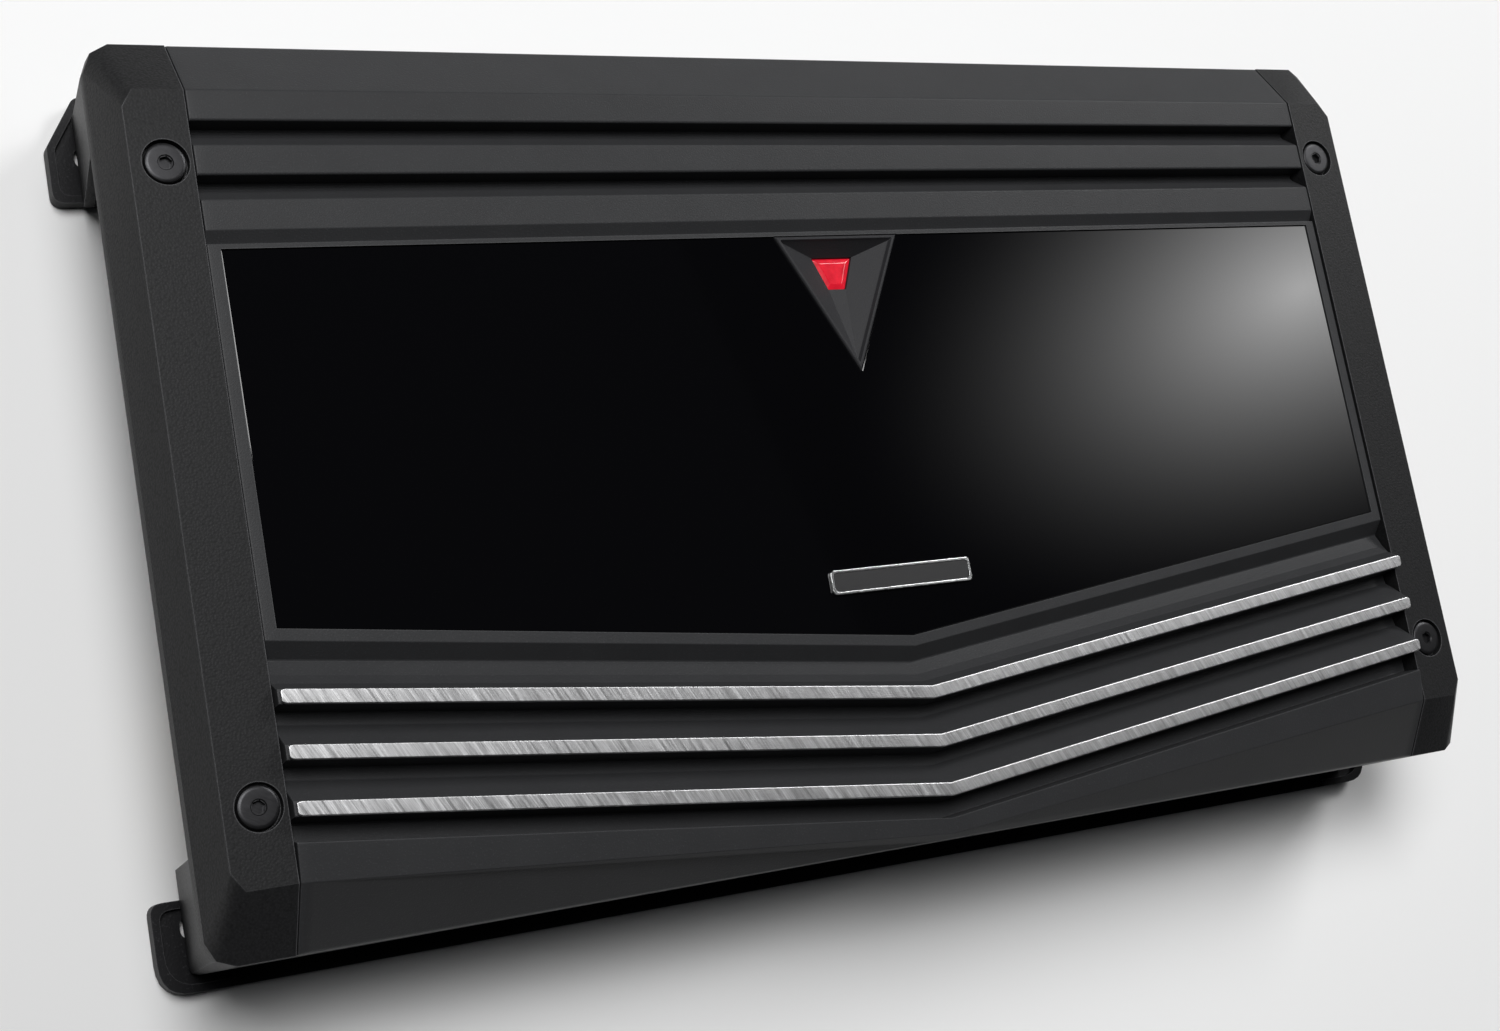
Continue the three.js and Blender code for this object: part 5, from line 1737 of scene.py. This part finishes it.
@dataclass
class FuseRow:
    """The fuse holder and its three pull-out blade fuses."""

    blade: Point2 = (0.8 * MM, 5.2 * MM)
    blade_length: float = 7.0 * MM
    blade_offset: float = 6.1 * MM
    grip: float = 3.5 * MM
    fit: float = 0.3 * MM
    count: int = 3

    def build_holder(self) -> None:
        """The holder, slotted for the blades, with a groove between the fuses."""
        box = Box.of("fuse_holder")
        shape = Shape.block(box.low, box.high)
        thick, wide = (side / 2 + self.fit for side in self.blade)
        rows = [Box.of(f"blade_fuse_{i + 1}").middle.y for i in range(self.count)]
        for y in rows:
            for z in (box.middle.z - self.blade_offset, box.middle.z + self.blade_offset):
                low = (box.high.x - 8.5 * MM, y - thick, z - wide)
                shape = shape.cut(Shape.block(low, (box.high.x + MM, y + thick, z + wide)))
        for near, far in zip(rows, rows[1:]):
            y = (near + far) / 2
            low = (box.high.x - 0.6 * MM, y - 0.4 * MM, box.low.z - MM)
            shape = shape.cut(Shape.block(low, (box.high.x + MM, y + 0.4 * MM, box.high.z + MM)))
        shape.softened(0.3 * MM, 2).piece("moulded_fuse_holder", BLACK, stands_for=["fuse_holder"])

    def build_fuse(self, node: str) -> None:
        """One fuse: a tinted body with hollowed flanks and two blades."""
        box = Box.of(node)
        face = box.low.x + self.blade_length
        low, high = box.low, box.high
        y, z = box.middle.y, box.middle.z
        core = Shape.block((face + self.fit, low.y, low.z + MM), (high.x, high.y, high.z - MM))
        grip = Shape.block((high.x - self.grip, low.y, low.z), high)
        body = core.joined(grip)
        for side in (low.y, high.y):
            near = (face + 2.5 * MM, side - 0.6 * MM, low.z + 4 * MM)
            far = (high.x - 4.5 * MM, side + 0.6 * MM, high.z - 4 * MM)
            body = body.cut(Shape.block(near, far))
        body = body.softened(0.4 * MM, 2)
        body.piece(f"{node}_case", FUSE, body=node, stands_for=[node])
        thick, wide = self.blade[0] / 2, self.blade[1] / 2
        blades = []
        for middle in (z - self.blade_offset, z + self.blade_offset):
            outline = [
                (low.x, middle - wide + MM),
                (low.x + MM, middle - wide),
                (face + MM, middle - wide),
                (face + MM, middle + wide),
                (low.x + MM, middle + wide),
                (low.x, middle + wide - MM),
            ]
            blades.append(Shape.prism(outline, Axis.Y, y - thick, y + thick))
        metal = blades[0].softened(0.12 * MM, 1).beside(blades[1].softened(0.12 * MM, 1))
        metal.piece(f"{node}_blades", ZINC, body=node)

    def build(self) -> None:
        """Builds the holder and the fuses."""
        self.build_holder()
        for i in range(self.count):
            self.build_fuse(f"blade_fuse_{i + 1}")


# ---------------------------------------------------------------- control end


@dataclass
class Controls:
    """Turning controls with knurled knobs, and slide switches with levers."""

    shaft: float = 1.6 * MM
    ridge: float = 0.22 * MM
    ridges: int = 30
    slot: float = 1.2 * MM
    lever_slot: float = 3.8 * MM

    def build_knob(self, node: str) -> None:
        """One knob, its shaft and the line on its face."""
        box = Box.of(node)
        tip, back, radius = box.low.x, box.high.x, box.size.y / 2
        y, z = box.middle.y, box.middle.z
        core, neck = radius - self.ridge, back - 4.4 * MM
        profile = [
            (0, tip),
            (core - 0.5 * MM, tip),
            (core, tip + 0.5 * MM),
            (core, neck),
            (self.shaft, neck),
            (self.shaft, back),
            (0, back),
        ]
        shape = Shape.turned(profile, Axis.X, (0, y, z), 48)
        low = (tip - MM, y - 0.6 * MM, z - radius)
        shape = shape.cut(Shape.block(low, (tip + self.slot, y + 0.6 * MM, z + radius)))
        top = core + self.ridge * 0.95
        ridge = Shape.block((tip + 0.6 * MM, -0.16 * MM, core - 0.1 * MM), (neck, 0.16 * MM, top))
        knurl = Repeat(self.ridges, turn=(2 * math.pi / self.ridges, 0, 0))
        grip = knurl.about((0, y, z), ridge, BLACK)
        shape.beside(grip).piece(f"knurled_{node}", BLACK, body=node, stands_for=[node])
        mark_low = (tip + self.slot - 0.05 * MM, y - 0.25 * MM, z + 0.4 * MM)
        mark_high = (tip + self.slot + 0.05 * MM, y + 0.25 * MM, z + core - 0.3 * MM)
        Shape.block(mark_low, mark_high).piece(f"{node}_line", WHITE, body=node)

    def build_body(self, node: str, knob: str) -> None:
        """The case behind a knob."""
        box, place = Box.of(node), Box.of(knob)
        centre = (0, place.middle.y, place.middle.z)
        low, high = box.low.x - MM, box.low.x + 4.5 * MM
        bore = Shape.bar(Axis.X, self.shaft + 0.1 * MM, centre, low, high)
        shape = Shape.block(box.low, box.high).cut(bore).softened(0.4 * MM, 2)
        shape.piece(f"{node}_case", BLACK, stands_for=[node])

    def build_switch(self, node: str) -> None:
        """A slide switch and its ribbed lever."""
        box, lever = Box.of(node), Box.of(f"{node}_lever")
        face, z = box.low.x, lever.middle.z
        low = (face - MM, box.middle.y - self.lever_slot, z - 1.8 * MM)
        high = (face + 3.0 * MM, box.middle.y + self.lever_slot, z + 1.8 * MM)
        shape = Shape.block(box.low, box.high).cut(Shape.block(low, high))
        shape.softened(0.3 * MM, 2).piece(f"{node}_case", BLACK, stands_for=[node])
        bar = Shape.block((lever.low.x + 0.35 * MM, lever.low.y, lever.low.z), lever.high)
        bar = bar.softened(0.2 * MM, 2)
        rib = Shape.block(
            (lever.low.x, lever.low.y + 0.3 * MM, lever.low.z + 0.2 * MM),
            (lever.low.x + 0.5 * MM, lever.low.y + 0.6 * MM, lever.high.z - 0.2 * MM),
        )
        ribs = Repeat(4, step=(0, 0.7 * MM, 0)).of(rib, WHITE)
        name = f"{node}_lever"
        bar.beside(ribs).piece(f"ribbed_{name}", WHITE, body=name, stands_for=[name])

    def build(self) -> None:
        """Builds the three controls and the two switches."""
        for name in ("gain", "low_pass", "bass_boost"):
            self.build_knob(f"{name}_knob")
            self.build_body(f"{name}_control", f"{name}_knob")
        for name in ("phase_switch", "filter_switch"):
            self.build_switch(name)


@dataclass
class LineInputs:
    """The line input block and its two gold sockets."""

    seat: float = 6.0 * MM
    barrel: float = 4.2 * MM
    pin: float = 1.7 * MM

    def build(self) -> None:
        """Builds the block, the sockets and their insulating rings."""
        block = Box.of("line_input_block")
        shape = Shape.block(block.low, block.high)
        face = block.low.x
        for side, ring in (("right", RED_PLASTIC), ("left", WHITE)):
            node = f"line_input_socket_{side}"
            box = Box.of(node)
            centre = (0, box.middle.y, box.middle.z)
            mouth, collar = box.low.x, box.size.y / 2
            seat = Shape.bar(Axis.X, self.barrel + 0.2 * MM, centre, face - MM, face + self.seat)
            shape = shape.cut(seat)
            profile = [
                (2.6 * MM, mouth + 0.3 * MM),
                (self.barrel - 0.35 * MM, mouth),
                (self.barrel, mouth + 0.5 * MM),
                (self.barrel, face - 1.8 * MM),
                (collar, face - 1.8 * MM),
                (collar, face - 0.3 * MM),
                (self.barrel, face - 0.3 * MM),
                (self.barrel, box.high.x),
                (2.6 * MM, box.high.x),
            ]
            sleeve = Shape.turned(profile, Axis.X, centre, 48)
            sleeve.piece(f"gold_{node}", GOLD, stands_for=[node])
            insulator = [
                (self.pin, mouth + 0.6 * MM),
                (2.55 * MM, mouth + 0.6 * MM),
                (2.55 * MM, box.high.x - MM),
                (self.pin, box.high.x - MM),
            ]
            core = Shape.turned(insulator, Axis.X, centre, 40)
            core.piece(f"{node}_insulator", ring)
        shape.softened(0.5 * MM, 2).piece("moulded_inputs", BLACK, stands_for=["line_input_block"])


@dataclass
class RemoteJack:
    """The wired remote's jack with its row of contacts."""

    lip: float = 2.0 * MM
    depth: float = 12.0 * MM
    contacts: int = 6
    pitch: float = 1.27 * MM

    def build(self) -> None:
        """Builds the housing and the contacts."""
        box = Box.of("remote_control_jack")
        face, y = box.low.x, box.middle.y
        low = (face - MM, box.low.y + self.lip, box.low.z + 3 * MM)
        high = (face + self.depth, box.high.y - self.lip, box.high.z - 3 * MM)
        latch_low = (face - MM, y - 2.5 * MM, box.low.z + 1.4 * MM)
        latch_high = (face + self.depth, y + 2.5 * MM, box.low.z + 4 * MM)
        shape = Shape.block(box.low, box.high).cut(Shape.block(low, high))
        shape = shape.cut(Shape.block(latch_low, latch_high)).softened(0.3 * MM, 2)
        shape.piece("moulded_jack", BLACK, stands_for=["remote_control_jack"])
        start = y - self.pitch * (self.contacts - 1) / 2
        top = high[2] - 0.1 * MM
        outline = [
            (face + 2 * MM, top - 0.3 * MM),
            (face + 9 * MM, top - 2.4 * MM),
            (face + 11.8 * MM, top - 0.3 * MM),
            (face + 11.8 * MM, top),
            (face + 2 * MM, top),
        ]
        wire = Shape.prism(outline, Axis.Y, start - 0.25 * MM, start + 0.25 * MM)
        row = Repeat(self.contacts, step=(0, self.pitch, 0)).of(wire, GOLD)
        row.piece("jack_contacts", GOLD)


# ---------------------------------------------------------------- board


@dataclass
class Board:
    """The main board with its small surface-mounted parts."""

    row: int = 14
    pitch: float = 9.0 * MM

    def build(self) -> None:
        """Builds the board and two rows of small parts."""
        box = Box.of("main_circuit_board")
        shape = Shape.block(box.low, box.high).softened(0.15 * MM, 1)
        shape.piece("lacquered_board", BOARD, stands_for=["main_circuit_board"])
        top = box.high.z
        for name, y, finish in (("front", -80 * MM, BLACK), ("back", 30 * MM, WHITE)):
            low = (-60 * MM, y, top)
            chip = Shape.block(low, (low[0] + 3.2 * MM, y + 1.6 * MM, top + 0.6 * MM))
            parts = Repeat(self.row, step=(self.pitch, 0, 0)).of(chip.softened(0.1 * MM, 1), finish)
            parts.piece(f"small_parts_{name}", finish)


@dataclass
class Capacitors:
    """Three upright reservoir capacitors with shrunk sleeves."""

    crimp: float = 0.9 * MM

    def build(self) -> None:
        """Builds each sleeve and the bare metal top that shows in it."""
        for i in range(3):
            node = f"reservoir_capacitor_{i + 1}"
            box = Box.of(node)
            r, low, high = box.size.x / 2, box.low.z, box.high.z
            centre = (box.middle.x, box.middle.y, 0.0)
            profile = [
                (0, low),
                (r - 0.6 * MM, low),
                (r, low + 0.8 * MM),
                (r, low + 2.6 * MM),
                (r - self.crimp, low + 3.2 * MM),
                (r - self.crimp, low + 4.0 * MM),
                (r, low + 4.6 * MM),
                (r, high - 0.6 * MM),
                (r - 0.6 * MM, high),
                (r - 2.2 * MM, high),
                (r - 2.2 * MM, high - 0.3 * MM),
                (0, high - 0.3 * MM),
            ]
            sleeve = Shape.turned(profile, Axis.Z, centre, 48)
            sleeve.piece(f"{node}_sleeve", SLEEVE, stands_for=[node])
            reach = r - 2.3 * MM
            lid = Shape.bar(Axis.Z, reach, centre, high - 0.4 * MM, high - 0.1 * MM)
            for wide, deep in ((reach * 0.8, 0.3 * MM), (0.3 * MM, reach * 0.8)):
                near = (centre[0] - wide, centre[1] - deep, high - 0.25 * MM)
                far = (centre[0] + wide, centre[1] + deep, high + MM)
                lid = lid.cut(Shape.block(near, far))
            lid.piece(f"{node}_top", ZINC)


@dataclass
class Toroids:
    """Ring cores wound with enamelled wire."""

    wire: float = 0.65 * MM

    def build_one(self, node: str, turns: int) -> None:
        """One core and the wire round it."""
        box = Box.of(node)
        tube = box.size.z / 2
        ring = box.size.x / 2 - tube
        core, steps = tube - 2 * self.wire, 20
        circle = [
            (
                ring + core * math.cos(2 * math.pi * k / steps),
                core * math.sin(2 * math.pi * k / steps),
            )
            for k in range(steps)
        ]
        place = Matrix.Translation(box.middle)
        body = Shape.turned(circle, Axis.Z, (0, 0, 0), 64).placed(place)
        body.piece(f"{node}_core", BLACK)
        winding = Winding(ring, tube - self.wire * 1.05, turns, self.wire).build(COPPER)
        winding.placed(place).piece(f"{node}_winding", COPPER, stands_for=[node])

    def build(self) -> None:
        """Winds both rings."""
        self.build_one("power_transformer", 54)
        self.build_one("output_inductor", 36)


@dataclass
class Transistors:
    """Four power transistors pressed to the casting by a bar."""

    body_height: float = 15.0 * MM
    leg_pitch: float = 4.0 * MM

    def build(self) -> None:
        """Builds the transistors, their legs and the bar."""
        for i in range(4):
            node = f"power_transistor_{i + 1}"
            box = Box.of(node)
            rise = box.high.z - self.body_height
            body = Shape.block((box.low.x, box.low.y, rise), box.high).softened(0.5 * MM, 2)
            body.piece(f"{node}_case", SLEEVE, stands_for=[node])
            x, y = box.middle.x - self.leg_pitch, box.middle.y
            bottom, joint = box.low.z, box.low.z + 0.6 * MM
            thick, wide = 0.4 * MM, 0.6 * MM
            leg = Shape.block((x - wide, y - thick, bottom), (x + wide, y + thick, rise))
            foot = Shape.block((x - MM, y - 0.8 * MM, bottom), (x + MM, y + 0.8 * MM, joint))
            legs = Repeat(3, step=(self.leg_pitch, 0, 0)).of(leg.joined(foot), ZINC)
            legs.piece(f"{node}_legs", ZINC)
        self.build_bar()

    def build_bar(self) -> None:
        """The clamp bar, an angle with a screw between each two transistors."""
        box = Box.of("transistor_clamp_bar")
        low, high = box.low, box.high
        web = Shape.block((low.x, high.y - 2.5 * MM, low.z), high)
        flange = Shape.block(low, (high.x, high.y - 2 * MM, low.z + 1.5 * MM))
        angle = web.joined(flange).softened(0.3 * MM, 2)
        x = (Box.of("power_transistor_1").middle.x + Box.of("power_transistor_2").middle.x) / 2
        face = high.y - 2.5 * MM
        head = Shape.bar(Axis.Y, 2.4 * MM, (x, 0, low.z + 5 * MM), face - 1.6 * MM, face + 0.1 * MM)
        arm = Shape.block(
            (x - 1.6 * MM, face - 2 * MM, low.z + 4.7 * MM),
            (x + 1.6 * MM, face - MM, low.z + 5.3 * MM),
        )
        heads = Repeat(3, step=(24 * MM, 0, 0)).of(head.cut(arm), ZINC)
        angle.beside(heads).piece("clamp_angle", ZINC, stands_for=["transistor_clamp_bar"])


@dataclass
class LampBoard:
    """The small board with the indicator's lamp."""

    thickness: float = 1.2 * MM
    lamp: float = 2.6 * MM

    def build(self) -> None:
        """Builds the board and the domed lamp on it."""
        box = Box.of("indicator_lamp_board")
        top = box.low.z + self.thickness
        board = Shape.block(box.low, (box.high.x, box.high.y, top)).softened(0.15 * MM, 1)
        board.piece("lamp_carrier", BOARD, stands_for=["indicator_lamp_board"])
        centre = (box.middle.x, box.middle.y, 0.0)
        high = box.high.z
        profile = [
            (0, top),
            (self.lamp, top),
            (self.lamp, high - 1.2 * MM),
            (self.lamp * 0.8, high - 0.5 * MM),
            (self.lamp * 0.45, high - 0.1 * MM),
            (0, high),
        ]
        Shape.turned(profile, Axis.Z, centre, 32).piece("indicator_lamp", RED)


# ---------------------------------------------------------------- studio


@dataclass
class Studio:
    """Pale floor, soft lights and the camera."""

    lens: float = 54.45
    place: tuple[float, float, float] = (-0.32848, -0.11468, 0.56239)
    right: tuple[float, float, float] = (0.87018, -0.17789, 0.45951)
    up: tuple[float, float, float] = (0.07905, 0.97088, 0.22616)
    back: tuple[float, float, float] = (-0.48636, -0.16047, 0.85890)
    glow_place: tuple[float, float, float] = (1.53, 0.45, 1.46)
    glow_reach: float = 0.65
    glow_target: tuple[float, float, float] = (0.15, 0.03, 0.06)
    floor_reach: float = 6.0
    floor_gap: float = 0.5 * MM
    sky: Colour = (0.9, 0.95, 1.0)
    sky_strength: float = 0.012

    def build_floor(self) -> None:
        """A wide pale floor just under the feet."""
        work = bmesh.new()
        bmesh.ops.create_grid(work, x_segments=2, y_segments=2, size=self.floor_reach)
        mesh = bpy.data.meshes.new("studio_floor")
        work.to_mesh(mesh)
        work.free()
        floor = bpy.data.objects.new("studio_floor", mesh)
        floor.location.z = -self.floor_gap
        bpy.context.scene.collection.objects.link(floor)
        finish = StudioFloor("floor", "studio_floor", (0.86, 0.86, 0.86), 0.9)
        mesh.materials.append(finish.material())

    def light(
        self, name: str, place: Sequence[float], target: Sequence[float], size: Point2, power: float
    ) -> bpy.types.Object:
        """A soft rectangular light at a place, facing a target."""
        lamp = bpy.data.lights.new(name, "AREA")
        lamp.shape = "RECTANGLE"
        lamp.size, lamp.size_y = size
        lamp.energy = power
        made = bpy.data.objects.new(name, lamp)
        made.location = place
        toward = Vector(target) - Vector(place)
        made.rotation_mode = "QUATERNION"
        made.rotation_quaternion = toward.to_track_quat("-Z", "Y")
        bpy.context.scene.collection.objects.link(made)
        return made

    def build_glow(self) -> None:
        """A glowing card that fades to nothing at its border."""
        work = bmesh.new()
        bmesh.ops.create_grid(work, x_segments=2, y_segments=2, size=self.glow_reach)
        mesh = bpy.data.meshes.new("glow_card")
        work.to_mesh(mesh)
        work.free()
        card = bpy.data.objects.new("glow_card", mesh)
        toward = Vector(self.glow_target) - Vector(self.glow_place)
        turn = toward.to_track_quat("Z", "Y").to_matrix().to_4x4()
        card.matrix_world = Matrix.Translation(self.glow_place) @ turn
        bpy.context.scene.collection.objects.link(card)
        mesh.materials.append(GlowCard("glow", "glow_card", (1.0, 1.0, 1.0)).material())

    def build_camera(self) -> None:
        """The camera, placed by its three axes."""
        data = bpy.data.cameras.new("camera")
        data.lens = self.lens
        data.sensor_width = 36.0
        data.clip_start, data.clip_end = 0.01, 50.0
        camera = bpy.data.objects.new("camera", data)
        axes = Matrix((self.right, self.up, self.back)).transposed().to_4x4()
        camera.matrix_world = Matrix.Translation(self.place) @ axes
        bpy.context.scene.collection.objects.link(camera)
        bpy.context.scene.camera = camera

    def build(self) -> None:
        """Sets the whole studio up."""
        self.build_floor()
        self.build_camera()
        world = bpy.data.worlds.new("studio")
        world.use_nodes = True
        sky = world.node_tree.nodes["Background"]
        sky.inputs["Color"].default_value = (*self.sky, 1.0)
        sky.inputs["Strength"].default_value = self.sky_strength
        bpy.context.scene.world = world
        self.light("key", (-0.5, 0.6, 1.75), (0.0, 0.0, 0.0), (1.1, 0.9), 34)
        self.light("right", (1.3, 1.0, 1.2), (0.17, -0.02, 0.0), (0.7, 0.5), 15)
        self.build_glow()


def main() -> None:
    """Builds every sub-assembly in order, then the studio."""
    logging.basicConfig(level=logging.INFO, format="%(name)s: %(message)s")
    scene = bpy.context.scene
    scene.view_settings.view_transform = "Standard"
    case = Case.from_frame()
    HeatSink(case).build()
    TrimStrips(case).build()
    Window(case).build()
    EndCap(case, "right").build()
    EndCap(case, "left").build()
    CapScrews().build()
    BasePlate(case).build()
    BaseScrews().build()
    powered = ("power_terminal_block", "speaker_terminal_block", "fuse_holder")
    EndPanel("power_panel", powered).build()
    levers = ("phase_switch_lever", "filter_switch_lever")
    holes = ("line_input_block", "remote_control_jack", *levers)
    knobs = tuple(f"{name}_knob" for name in ("gain", "low_pass", "bass_boost"))
    EndPanel("control_panel", holes, knobs, slide=4.0 * MM).build()
    TerminalBlocks().build()
    TerminalScrews().build()
    FuseRow().build()
    Controls().build()
    LineInputs().build()
    RemoteJack().build()
    Board().build()
    Capacitors().build()
    Toroids().build()
    Transistors().build()
    LampBoard().build()
    Studio().build()


if __name__ == "__main__":
    main()
